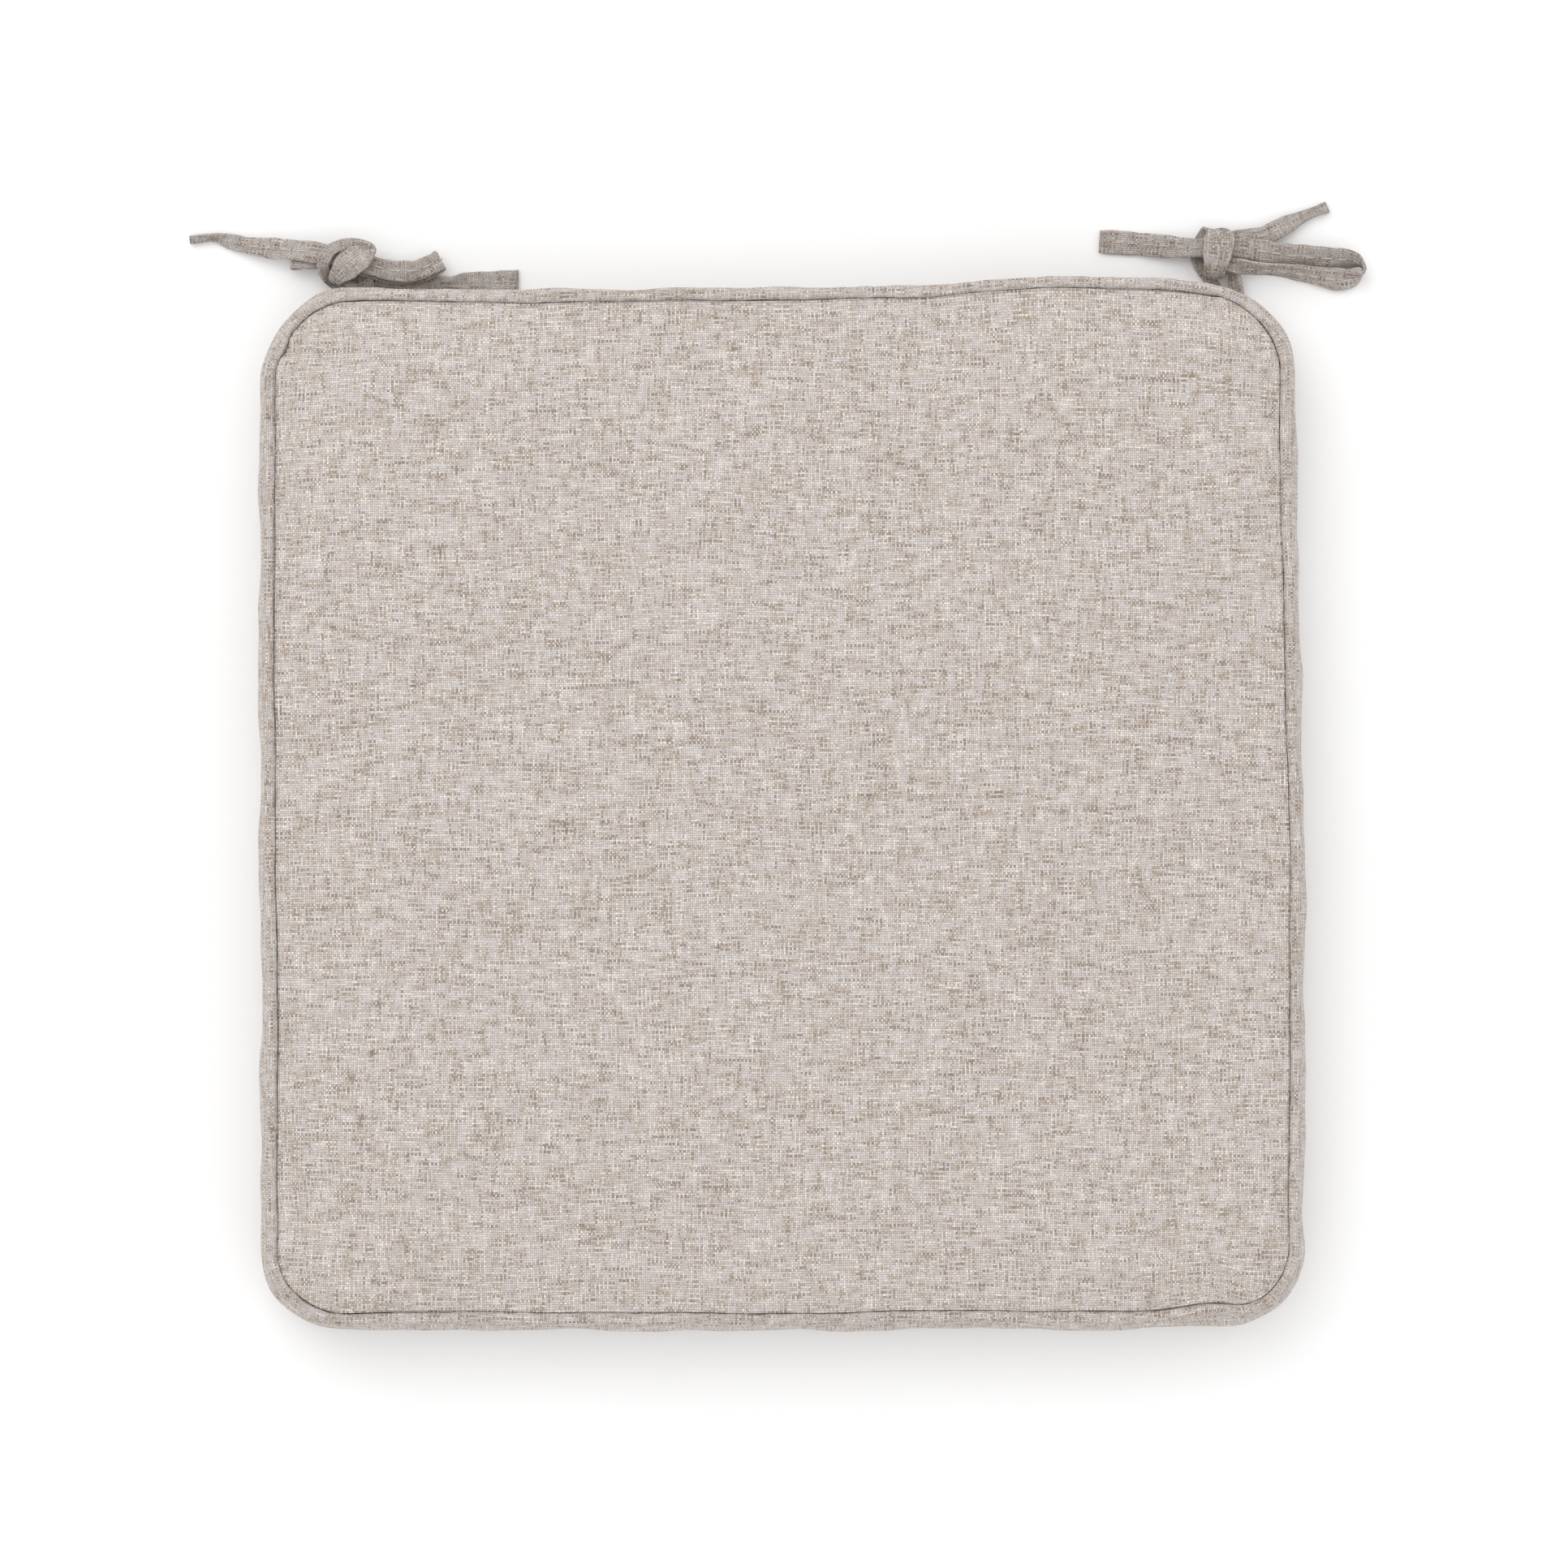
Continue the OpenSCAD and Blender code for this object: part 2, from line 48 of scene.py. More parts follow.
# ---- Sizes, from the frame ----
wall_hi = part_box("side_boxing")[1]
pipe_lo, pipe_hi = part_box("top_piping_cover")
low_pipe_lo, low_pipe_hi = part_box("bottom_piping_cover")
HALF_W = wall_hi.x
HALF_D = wall_hi.y
CORNER_R = 36 * MM
PIPE_R = (pipe_hi.z - pipe_lo.z) / 2
PIPE_IN = HALF_W - pipe_hi.x + PIPE_R
TOP_PIPE_Z = (pipe_hi.z + pipe_lo.z) / 2
LOW_PIPE_Z = (low_pipe_hi.z + low_pipe_lo.z) / 2
MID_Z = (TOP_PIPE_Z + LOW_PIPE_Z) / 2
CROWN_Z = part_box("top_panel")[1].z
SEAM_IN = 7.6 * MM
CLOTH_T = 0.5 * MM
FRAME_W = 631.96 * MM
ROOT_Y = HALF_D - 2 * MM
KNOT_X = HALF_W - 33 * MM

SIDE_X = HALF_W - CORNER_R
SIDE_Y = HALF_D - CORNER_R
QUARTER = math.pi / 2 * CORNER_R
PERIMETER = 4 * (SIDE_X + SIDE_Y) + 4 * QUARTER


# ---- Camera ----
def make_camera():
    distance = 2.5
    tilt = math.radians(3.5)
    aim = Vector((1.308 * MM, 9.159 * MM, MID_Z))
    data = bpy.data.cameras.new("camera")
    data.sensor_width = 36
    data.lens = data.sensor_width * distance / FRAME_W
    camera = bpy.data.objects.new("camera", data)
    bpy.context.scene.collection.objects.link(camera)
    turn = Matrix.Rotation(tilt, 4, "X")
    back = turn.to_3x3() @ Vector((0, 0, 1))
    camera.matrix_world = Matrix.Translation(aim + distance * back) @ turn
    bpy.context.scene.camera = camera


make_camera()


# ---- Materials ----
class Nodes:
    """Short calls for building one material's node tree."""

    def __init__(self, name):
        self.material = bpy.data.materials.new(name)
        self.material.use_nodes = True
        self.tree = self.material.node_tree
        self.shader = self.tree.nodes["Principled BSDF"]

    def link(self, value, socket):
        if isinstance(value, (int, float, tuple)):
            socket.default_value = value
        else:
            self.tree.links.new(value, socket)

    def math(self, operation, a, b=0.0, clamp=False):
        node = self.tree.nodes.new("ShaderNodeMath")
        node.operation = operation
        node.use_clamp = clamp
        self.link(a, node.inputs[0])
        self.link(b, node.inputs[1])
        return node.outputs[0]

    def span(self, value, low, high, to_low=0.0, to_high=1.0):
        node = self.tree.nodes.new("ShaderNodeMapRange")
        self.link(value, node.inputs["Value"])
        for socket, number in zip(node.inputs[1:5], (low, high, to_low, to_high)):
            socket.default_value = number
        return node.outputs[0]

    def vector(self, x, y, z=0.0):
        node = self.tree.nodes.new("ShaderNodeCombineXYZ")
        for socket, value in zip(node.inputs, (x, y, z)):
            self.link(value, socket)
        return node.outputs[0]

    def noise(self, where, scale=1.0, detail=1.0, rough=0.5):
        node = self.tree.nodes.new("ShaderNodeTexNoise")
        self.link(where, node.inputs["Vector"])
        node.inputs["Scale"].default_value = scale
        node.inputs["Detail"].default_value = detail
        node.inputs["Roughness"].default_value = rough
        return node.outputs["Fac"]

    def ramp(self, value, stops):
        node = self.tree.nodes.new("ShaderNodeValToRGB")
        self.link(value, node.inputs["Fac"])
        points = node.color_ramp.elements
        while len(points) < len(stops):
            points.new(0.5)
        for point, (place, colour) in zip(points, stops):
            point.position = place
            point.color = (*colour, 1)
        return node.outputs["Color"]

    def mix(self, factor, a, b, blend="MIX"):
        node = self.tree.nodes.new("ShaderNodeMix")
        node.data_type = "RGBA"
        node.blend_type = blend
        self.link(factor, node.inputs["Factor"])
        self.link(a, node.inputs["A"])
        self.link(b, node.inputs["B"])
        return node.outputs["Result"]

    def bump(self, height, strength, distance):
        node = self.tree.nodes.new("ShaderNodeBump")
        node.inputs["Strength"].default_value = strength
        node.inputs["Distance"].default_value = distance
        self.link(height, node.inputs["Height"])
        self.tree.links.new(node.outputs["Normal"], self.shader.inputs["Normal"])

    def uv(self):
        node = self.tree.nodes.new("ShaderNodeUVMap")
        node.uv_map = "cloth"
        split = self.tree.nodes.new("ShaderNodeSeparateXYZ")
        self.tree.links.new(node.outputs["UV"], split.inputs[0])
        return split.outputs[0], split.outputs[1]

    def colour(self, value, stops):
        self.link(self.ramp(value, stops), self.shader.inputs["Base Color"])

    def roughness(self, value):
        self.link(value, self.shader.inputs["Roughness"])

    def set(self, **values):
        for name, value in values.items():
            self.shader.inputs[name.replace("_", " ")].default_value = value


def srgb(*values):
    """sRGB bytes as a linear colour."""
    parts = [v / 255 for v in values]
    return tuple(p / 12.92 if p <= 0.04045 else ((p + 0.055) / 1.055) ** 2.4 for p in parts)


# Yarn colours along each thread: taupe, beige, lilac grey and white segments; the white segments also stand
# in for painted highlight streaks along the yarns
YARNS = [
    (0.30, srgb(149, 134, 123)),
    (0.42, srgb(190, 177, 165)),
    (0.48, srgb(206, 194, 184)),
    (0.54, srgb(202, 195, 197)),
    (0.61, srgb(218, 210, 202)),
    (0.76, srgb(241, 233, 225)),
]
WARP_PITCH = 0.82 * MM
WEFT_PITCH = 0.946 * MM
YARN_RUNS = 145  # changes of colour in a metre of yarn
YARN_STEP = 5.17  # sets each yarn's colours apart from its neighbour's
FIBRES_ALONG, FIBRES_ACROSS = 900, 4200


def woven_cloth(name, shade):
    """Plain weave of melange yarns. UVs are metres across the warp (x) and across the weft (y)."""
    n = Nodes(name)
    x, y = n.uv()
    bend_x = n.span(n.noise(n.vector(x, y, 0.3), 14, 1), 0, 1, -0.0016, 0.0016)
    bend_y = n.span(n.noise(n.vector(y, x, 5.1), 11, 1), 0, 1, -0.0016, 0.0016)
    sway_x = n.span(n.noise(n.vector(x, y, 2.2), 520, 2), 0, 1, -0.0004, 0.0004)
    sway_y = n.span(n.noise(n.vector(x, y, 7.7), 520, 2), 0, 1, -0.0004, 0.0004)
    u = n.math("DIVIDE", n.math("ADD", n.math("ADD", x, bend_x), sway_x), WARP_PITCH)
    v = n.math("DIVIDE", n.math("ADD", n.math("ADD", y, bend_y), sway_y), WEFT_PITCH)
    col = n.math("FLOOR", u)
    row = n.math("FLOOR", v)

    # Each yarn's height: over one crossing and under the next, with a rounded cross-section
    wave_u = n.math("SINE", n.math("MULTIPLY", u, math.pi))
    wave_v = n.math("SINE", n.math("MULTIPLY", v, math.pi))
    round_u = n.math("POWER", n.math("ABSOLUTE", wave_u), 0.6)
    round_v = n.math("POWER", n.math("ABSOLUTE", wave_v), 0.6)
    weft_wave = n.math("MULTIPLY", n.math("MULTIPLY", wave_u, n.math("SIGN", wave_v)), 0.4)
    warp_wave = n.math("MULTIPLY", n.math("MULTIPLY", wave_v, n.math("SIGN", wave_u)), -0.4)
    weft_height = n.math("ADD", weft_wave, n.math("MULTIPLY", round_v, 0.62))
    warp_height = n.math("ADD", warp_wave, n.math("MULTIPLY", round_u, 0.55))
    uneven = n.span(n.noise(n.vector(x, y, 5.5), 900, 1), 0, 1, -0.3, 0.36)
    weft_on_top = n.span(n.math("ADD", n.math("SUBTRACT", weft_height, warp_height), uneven), -0.04, 0.04)
    height = n.math("MAXIMUM", weft_height, warp_height)

    # Colour: slow clouds, then long pieces of each yarn, then its own fine fibres, then painted shade where
    # the yarns dip into the gaps and a painted highlight on their crests
    cloud_at = n.vector(n.math("MULTIPLY", x, 32), n.math("MULTIPLY", y, 90))
    clouds = n.span(n.noise(cloud_at, 1, 3), 0, 1, -0.02, 0.02)
    weft_at = n.vector(n.math("MULTIPLY", x, YARN_RUNS), n.math("MULTIPLY", row, YARN_STEP), 3.3)
    warp_at = n.vector(n.math("MULTIPLY", col, YARN_STEP), n.math("MULTIPLY", y, YARN_RUNS), 9.7)
    weft = n.span(n.noise(weft_at), 0, 1, 0.05, 0.93)
    warp = n.span(n.noise(warp_at), 0, 1, 0.06, 0.94)
    weft_hair = n.vector(n.math("MULTIPLY", x, FIBRES_ALONG), n.math("MULTIPLY", y, FIBRES_ACROSS))
    warp_hair = n.vector(n.math("MULTIPLY", x, FIBRES_ACROSS), n.math("MULTIPLY", y, FIBRES_ALONG), 4.0)
    weft_fibre = n.noise(weft_hair, 1, 2, 0.7)
    warp_fibre = n.noise(warp_hair, 1, 2, 0.7)
    weft_tone = n.math("ADD", n.math("ADD", weft, clouds), n.span(weft_fibre, 0, 1, -0.17, 0.17))
    warp_tone = n.math("ADD", warp, n.span(warp_fibre, 0, 1, -0.16, 0.18))
    yarn = n.mix(weft_on_top, n.ramp(warp_tone, YARNS), n.ramp(weft_tone, YARNS))
    fibre = n.mix(weft_on_top, warp_fibre, weft_fibre)
    # Fibre tone that also serves as a painted highlight: single fibres are brightened up to 1.16
    fibre_tone_and_glint = n.span(fibre, 0.3, 0.7, 0.82, 1.16)
    # Painted shade and highlight: the colour darkens to 0.46 where the yarns sink into the gaps and lightens
    # to 1.07 on their crests, times the fibre tone and the cloth's shade
    gap_shade_and_fibre = n.math("MULTIPLY", n.math("MULTIPLY", n.span(height, 0.15, 0.75, 0.46, 1.07), fibre_tone_and_glint), shade)
    colour = n.mix(1.0, yarn, n.vector(gap_shade_and_fibre, gap_shade_and_fibre, gap_shade_and_fibre), "MULTIPLY")
    n.link(colour, n.shader.inputs["Base Color"])
    n.roughness(n.span(height, 0, 1, 0.98, 0.8))
    n.set(Specular_IOR_Level=0.2, Sheen_Weight=0.1, Sheen_Roughness=0.5)
    n.bump(n.math("ADD", height, n.math("MULTIPLY", fibre, 0.3)), 1.0, 0.22 * MM)
    return n.material


def thread_material(name, colour):
    """Twisted sewing thread or cord: slanted plies along the length, with painted shade in the grooves
    between them.
    """
    n = Nodes(name)
    x, y = n.uv()
    slant = n.math("ADD", x, n.math("MULTIPLY", y, 1.2))
    ply = n.math("SINE", n.math("MULTIPLY", slant, 2 * math.pi / (0.6 * MM)))
    worn = n.noise(n.vector(n.math("MULTIPLY", x, 300), n.math("MULTIPLY", y, 900)), 1, 2)
    dark = tuple(0.72 * c for c in colour)
    # Painted shade: darker in the grooves between the plies, with random wear on top
    ply_shade_and_mottle = n.math("ADD", n.span(ply, -1, 1, 0.15, 0.75), n.span(worn, 0, 1, -0.25, 0.25), True)
    n.colour(ply_shade_and_mottle, [(0, dark), (1, colour)])
    n.roughness(n.span(worn, 0, 1, 0.6, 0.85))
    n.set(Sheen_Weight=0.1, Specular_IOR_Level=0.3)
    n.bump(ply, 0.5, 0.1 * MM)
    return n.material


def object_noise(n, scale, detail=2.0, rough=0.5):
    node = n.tree.nodes.new("ShaderNodeTexCoord")
    return n.noise(node.outputs["Object"], scale, detail, rough)


def foam_material():
    n = Nodes("foam")
    cells = n.tree.nodes.new("ShaderNodeTexVoronoi")
    where = n.tree.nodes.new("ShaderNodeTexCoord")
    n.link(where.outputs["Object"], cells.inputs["Vector"])
    cells.inputs["Scale"].default_value = 900
    aged = object_noise(n, 12)
    n.colour(aged, [(0.3, srgb(226, 211, 164)), (0.7, srgb(243, 234, 202))])
    n.roughness(n.span(aged, 0, 1, 0.85, 0.98))
    n.bump(cells.outputs["Distance"], 0.8, 0.5 * MM)
    return n.material


def wadding_material():
    n = Nodes("wadding")
    fibre = object_noise(n, 260, 6, 0.75)
    lump = object_noise(n, 30, 3)
    n.colour(lump, [(0.3, srgb(228, 226, 220)), (0.7, srgb(250, 249, 246))])
    n.roughness(n.span(fibre, 0, 1, 0.8, 1.0))
    n.set(Sheen_Weight=0.3)
    n.bump(fibre, 0.8, 0.8 * MM)
    return n.material


def tape_material():
    """Zip tape: a fine herringbone, with painted shade in the grooves between its ribs."""
    n = Nodes("zip_tape")
    x, y = n.uv()
    leg = n.math("PINGPONG", y, 1.6 * MM)
    rib = n.math("SINE", n.math("MULTIPLY", n.math("ADD", x, leg), 2 * math.pi / (0.7 * MM)))
    worn = n.noise(n.vector(x, y), 220, 3)
    # Painted shade in the grooves between the ribs, plus random wear
    shade = n.math("ADD", n.span(rib, -1, 1, 0.1, 0.6), n.span(worn, 0, 1, 0, 0.4), True)
    n.colour(shade, [(0, srgb(158, 143, 130)), (1, srgb(203, 190, 177))])
    n.roughness(n.span(worn, 0, 1, 0.7, 0.9))
    n.bump(rib, 0.5, 0.12 * MM)
    return n.material


def nylon_material():
    n = Nodes("zip_coil")
    worn = object_noise(n, 400, 2)
    n.colour(worn, [(0.3, srgb(168, 153, 139)), (0.7, srgb(196, 183, 170))])
    n.roughness(n.span(worn, 0, 1, 0.32, 0.5))
    n.set(Subsurface_Weight=0.05)
    n.bump(worn, 0.15, 0.05 * MM)
    return n.material


def metal_material():
    n = Nodes("zip_metal")
    cast = object_noise(n, 900, 4, 0.6)
    rubbed = object_noise(n, 160, 2)
    n.colour(rubbed, [(0.35, srgb(164, 163, 162)), (0.65, srgb(206, 205, 203))])
    n.roughness(n.span(cast, 0, 1, 0.25, 0.5))
    n.set(Metallic=1.0)
    n.bump(cast, 0.12, 0.05 * MM)
    return n.material


def plain_material(name, colour, roughness):
    n = Nodes(name)
    n.set(Base_Color=(*colour, 1), Roughness=roughness, Specular_IOR_Level=0.1)
    return n.material


COVER = woven_cloth("cover_cloth", 0.90)
PIPING = woven_cloth("piping_cloth", 0.84)
TIE = woven_cloth("tie_cloth", 0.69)
STITCH = thread_material("stitch_thread", srgb(222, 214, 204))
CORD = thread_material("piping_cord", srgb(232, 226, 210))
ZIP_TAPE = tape_material()
ZIP_COIL = nylon_material()


# ---- Mesh helpers ----
def new_mesh(name, points, faces, uvs, material):
    """A smooth mesh. uvs is one (u, v) in metres for each corner of each face, in order."""
    mesh = bpy.data.meshes.new(name)
    mesh.from_pydata([tuple(p) for p in points], [], faces)
    layer = mesh.uv_layers.new(name="cloth")
    layer.data.foreach_set("uv", np.asarray(uvs, np.float32).ravel())
    mesh.polygons.foreach_set("use_smooth", [True] * len(mesh.polygons))
    mesh.materials.append(material)
    return mesh


def new_piece(name, points, faces, uvs, material):
    piece = bpy.data.objects.new(name, new_mesh(name, points, faces, uvs, material))
    bpy.context.scene.collection.objects.link(piece)
    return piece


def swap_mesh(piece, mesh):
    """Gives the piece that mesh in place of its own."""
    old = piece.data
    piece.data = mesh
    bpy.data.meshes.remove(old)
    mesh.name = piece.name


def grid_faces(rows, cols, loop_rows=False, loop_cols=False):
    """Quads over a grid of rows by cols points, and for each its four (row, col) uv places."""
    faces, places = [], []
    for r in range(rows if loop_rows else rows - 1):
        for c in range(cols if loop_cols else cols - 1):
            corners = [(r, c), (r + 1, c), (r + 1, c + 1), (r, c + 1)]
            faces.append([(a % rows) * cols + b % cols for a, b in corners])
            places.append(corners)
    return faces, places


def sheet_piece(name, points, u, v, material, loop_rows=False, loop_cols=False, flip=False):
    """A grid of points [row][col] as a mesh. u is metres for each row and v for each col, each with one
    more value than the points where the grid closes on itself."""
    rows, cols = points.shape[:2]
    faces, places = grid_faces(rows, cols, loop_rows, loop_cols)
    if flip:
        faces = [f[::-1] for f in faces]
        places = [p[::-1] for p in places]
    u, v = np.asarray(u), np.asarray(v)
    uvs = [(u[r], v[c]) for p in places for r, c in p]
    return new_piece(name, points.reshape(-1, 3), faces, uvs, material)


def apply_modifiers(piece):
    """Replaces the piece's mesh with its modified one."""
    graph = bpy.context.evaluated_depsgraph_get()
    mesh = bpy.data.meshes.new_from_object(piece.evaluated_get(graph))
    piece.modifiers.clear()
    swap_mesh(piece, mesh)


def thicken(piece, thickness=CLOTH_T, subdivide=0):
    """Turns a one-sided sheet into closed cloth, with its outer face where it was."""
    if subdivide:
        smooth = piece.modifiers.new("smooth", "SUBSURF")
        smooth.levels = smooth.render_levels = subdivide
        smooth.boundary_smooth = "PRESERVE_CORNERS"
    shell = piece.modifiers.new("shell", "SOLIDIFY")
    shell.thickness = thickness
    shell.offset = -1
    apply_modifiers(piece)


def finish_piece(piece, body, slot, *nodes):
    """Fixes the piece to its body, and puts it in the place of the CAD nodes."""
    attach(piece, body)
    if nodes:
        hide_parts(*nodes)


# ---- The edge of the pad ----
# s runs in metres round the widest line, from the middle of the back edge towards the left (-X).
EDGE_KNOTS = np.cumsum([
    0, SIDE_X, QUARTER, 2 * SIDE_Y, QUARTER, 2 * SIDE_X, QUARTER, 2 * SIDE_Y, QUARTER, SIDE_X,
])
EDGE_X = np.array([0, -1, -1, -1, -1, 1, 1, 1, 1, 0]) * SIDE_X
EDGE_Y = np.array([1, 1, 1, -1, -1, -1, -1, 1, 1, 1]) * SIDE_Y
EDGE_TURN = np.radians([90, 90, 180, 180, 270, 270, 360, 360, 450, 450])


def ripple(s, waves):
    """Sum of sines along s. Each wave is (height, length, phase)."""
    return sum(h * np.sin(2 * math.pi * s / length + phase) for h, length, phase in waves)


def closed_ripple(s, waves):
    """The same with whole waves round the perimeter. Each wave is (height, count, phase)."""
    return ripple(s, [(h, PERIMETER / count, phase) for h, count, phase in waves])


def hollow(s, centre, half, power=2):
    """1 at centre, falling smoothly to 0 past half on either side, along the edge."""
    gap = (s - centre + PERIMETER / 2) % PERIMETER - PERIMETER / 2
    return np.exp(-((gap / half) ** power))


# The piping is pinched where its ends are joined, in the back left corner
PINCH_S = SIDE_X + 0.78 * QUARTER
PINCH_HALF = 5 * MM
PINCH_IN = 2 * MM
PINCH_THIN = 0.5 * MM
# The seam is drawn in where the front edge meets the right corner, and the wall shows beyond it
TUCK_S = 3 * SIDE_X + 2 * SIDE_Y + 2 * QUARTER - 1 * MM
TUCK_HALF = 15 * MM
TUCK_DEPTH = 2.6 * MM
# The upper edge leans out beside the right tie, and the wall swells below it there
LEAN_S = PERIMETER - 126 * MM
LEAN_HALF = 55 * MM
LEAN = 3.9 * MM
SWELL_S = PERIMETER - SIDE_X + 20 * MM
SWELL_HALF = 17 * MM
SWELL = 1.7 * MM
EDGE_OUT = [(0.45 * MM, 3, 0.6), (0.35 * MM, 8, 2.0), (0.22 * MM, 17, 4.1), (0.12 * MM, 41, 1.0)]
EDGE_UP = [(0.35 * MM, 4, 1.3), (0.25 * MM, 11, 0.2), (0.15 * MM, 29, 3.3)]
LOW_EDGE_UP = [(0.15 * MM, 7, 2.2)]
LOW_SHARE = 0.5  # how much of the drift the lower edge has

# Slow drift of the sewn outline: distance along the edge and how far out it stands, in millimetres
DRIFT = np.array([
    (0, 0), (100, -0.4), (174, -0.4), (203, -1.6), (232, 0.4), (265, 0.9), (292, 1.6), (330, 0.9),
    (400, -0.1), (480, -1.2), (533, -2.0), (578, -2.4), (606, -0.8), (640, -0.2), (800, 0.3), (950, 0.1),
    (988, -1.3), (1011, 0.3), (1040, 0), (1140, 0.6), (1280, -0.6), (1387, -2.2), (1415, -1.2),
    (1450, 1.2), (1508, 2.4), (1568, 1.0), (PERIMETER / MM, 0),
])


def drift(s):
    """The drift, eased from one of its points to the next."""
    at = np.asarray(s, float) % PERIMETER / MM
    after = np.clip(np.searchsorted(DRIFT[:, 0], at, "right"), 1, len(DRIFT) - 1)
    s0, s1 = DRIFT[after - 1, 0], DRIFT[after, 0]
    d0, d1 = DRIFT[after - 1, 1], DRIFT[after, 1]
    t = np.clip((at - s0) / (s1 - s0), 0, 1)
    return (d0 + (d1 - d0) * (t * 0.5 + 0.5 * t * t * (3 - 2 * t))) * MM


def wall_out(s):
    """How far the whole edge stands out from its true line."""
    return drift(s) + closed_ripple(s, EDGE_OUT)


def lean(s):
    """How much further out the upper edge stands than the lower."""
    return LEAN * hollow(s, LEAN_S, LEAN_HALF, 4) - TUCK_DEPTH * hollow(s, TUCK_S, TUCK_HALF)


def edge_out(s):
    """How far out the upper piping and the panel's rim stand. The pinch draws them in."""
    return wall_out(s) + lean(s) - PINCH_IN * hollow(s, PINCH_S, PINCH_HALF)


def edge_up(s):
    return closed_ripple(s, EDGE_UP) - PINCH_THIN * hollow(s, PINCH_S, PINCH_HALF)


def on_edge(s, inset, z):
    """Points at that inset from the widest line. The arguments are arrays that broadcast."""
    s, inset, z = np.broadcast_arrays(np.asarray(s, float), inset, z)
    around = s % PERIMETER
    turn = np.interp(around, EDGE_KNOTS, EDGE_TURN)
    reach = CORNER_R - inset
    x = np.interp(around, EDGE_KNOTS, EDGE_X) + reach * np.cos(turn)
    y = np.interp(around, EDGE_KNOTS, EDGE_Y) + reach * np.sin(turn)
    return np.stack([x, y, z], axis=-1)


def edge_steps(step, start=0.0, length=PERIMETER):
    count = round(length / step)
    return start + np.arange(count + 1) * length / count


# ---- Top and bottom panels ----
def panel_grid(cells_side, cells_corner, inset=SEAM_IN):
    """A square grid whose corners are bent to the outline's round corners at that inset. Returns x and y."""
    r = CORNER_R - inset
    flat_x, flat_y = SIDE_X, SIDE_Y
    rise = np.linspace(0, 1, cells_corner + 1)[1:]
    line = np.linspace(-1, 1, cells_side + 1)

    def axis(flat):
        return np.concatenate([-flat - r * rise[::-1], flat * line, flat + r * rise])

    x, y = np.meshgrid(axis(flat_x), axis(flat_y), indexing="ij")
    p = np.clip((np.abs(x) - flat_x) / r, 0, 1)
    q = np.clip((np.abs(y) - flat_y) / r, 0, 1)
    in_corner = (p > 0) & (q > 0)
    round_x = np.sign(x) * (flat_x + r * p * np.sqrt(1 - q * q / 2))
    round_y = np.sign(y) * (flat_y + r * q * np.sqrt(1 - p * p / 2))
    return np.where(in_corner, round_x, x), np.where(in_corner, round_y, y)


def seam_distance(x, y, inset=SEAM_IN):
    """How far each point lies inside the line at that inset."""
    r = CORNER_R - inset
    dx, dy = np.abs(x) - SIDE_X, np.abs(y) - SIDE_Y
    outside = np.hypot(np.maximum(dx, 0), np.maximum(dy, 0))
    return r - outside - np.minimum(np.maximum(dx, dy), 0)


def edge_place(x, y):
    """s of the nearest point on the edge, and the outward direction there."""
    s = edge_steps(4 * MM)[:-1]
    line = on_edge(s, SEAM_IN, 0.0)[:, :2]
    points = np.stack([x.ravel(), y.ravel()], axis=1)
    nearest = np.array([np.argmin(((line - p) ** 2).sum(1)) for p in points])
    found = s[nearest].reshape(x.shape)
    turn = np.interp(found, EDGE_KNOTS, EDGE_TURN)
    return found, np.cos(turn), np.sin(turn)


def settle(piece, pinned, pressure, slack, cap, frames=20):
    """Cloth simulation of a panel that is sewn down round its edge. No point travels further than cap."""
    group = piece.vertex_groups.new(name="pin")
    group.add([int(i) for i in pinned], 1.0, "ADD")
    cloth = piece.modifiers.new("cloth", "CLOTH")
    cloth.settings.quality = 6
    cloth.settings.mass = 0.15
    cloth.settings.tension_stiffness = 20
    cloth.settings.compression_stiffness = 20
    cloth.settings.shear_stiffness = 8
    cloth.settings.bending_stiffness = 0.4
    cloth.settings.vertex_group_mass = "pin"
    cloth.settings.shrink_min = -slack
    cloth.settings.use_pressure = True
    cloth.settings.uniform_pressure_force = pressure
    cloth.settings.effector_weights.gravity = 0
    cloth.collision_settings.use_collision = False
    cloth.collision_settings.use_self_collision = False
    scene = bpy.context.scene
    start = np.array([v.co for v in piece.data.vertices])
    for number in range(1, frames + 1):
        scene.frame_set(number)
    graph = bpy.context.evaluated_depsgraph_get()
    end = np.array([v.co for v in piece.evaluated_get(graph).data.vertices])
    piece.modifiers.clear()
    scene.frame_set(1)
    travel = end - start
    reach = np.linalg.norm(travel, axis=1, keepdims=True)
    travel *= np.minimum(1, cap / np.maximum(reach, 1e-9))
    piece.data.vertices.foreach_set("co", (start + travel).astype(np.float32).ravel())
    piece.data.update()


FOLLOW = 22 * MM  # how far in from its seam the top panel still follows the edge's drift
ROLL, ROLL_REACH = 2.3 * MM, 3.6 * MM
DOME_REACH = 45 * MM
PULLS = [(0.16 * MM, 7 * MM, 0.4), (0.12 * MM, 11.5 * MM, 2.0), (0.2 * MM, 31 * MM, 1.1)]
CREASES = [(0.7 * MM, 12 * MM, 2.6)]


def near_seam(inside, reach, start):
    """0 on the seam, rising within start of it, then fading over reach."""
    return np.exp(-inside / reach) * (1 - np.exp(-inside / start))


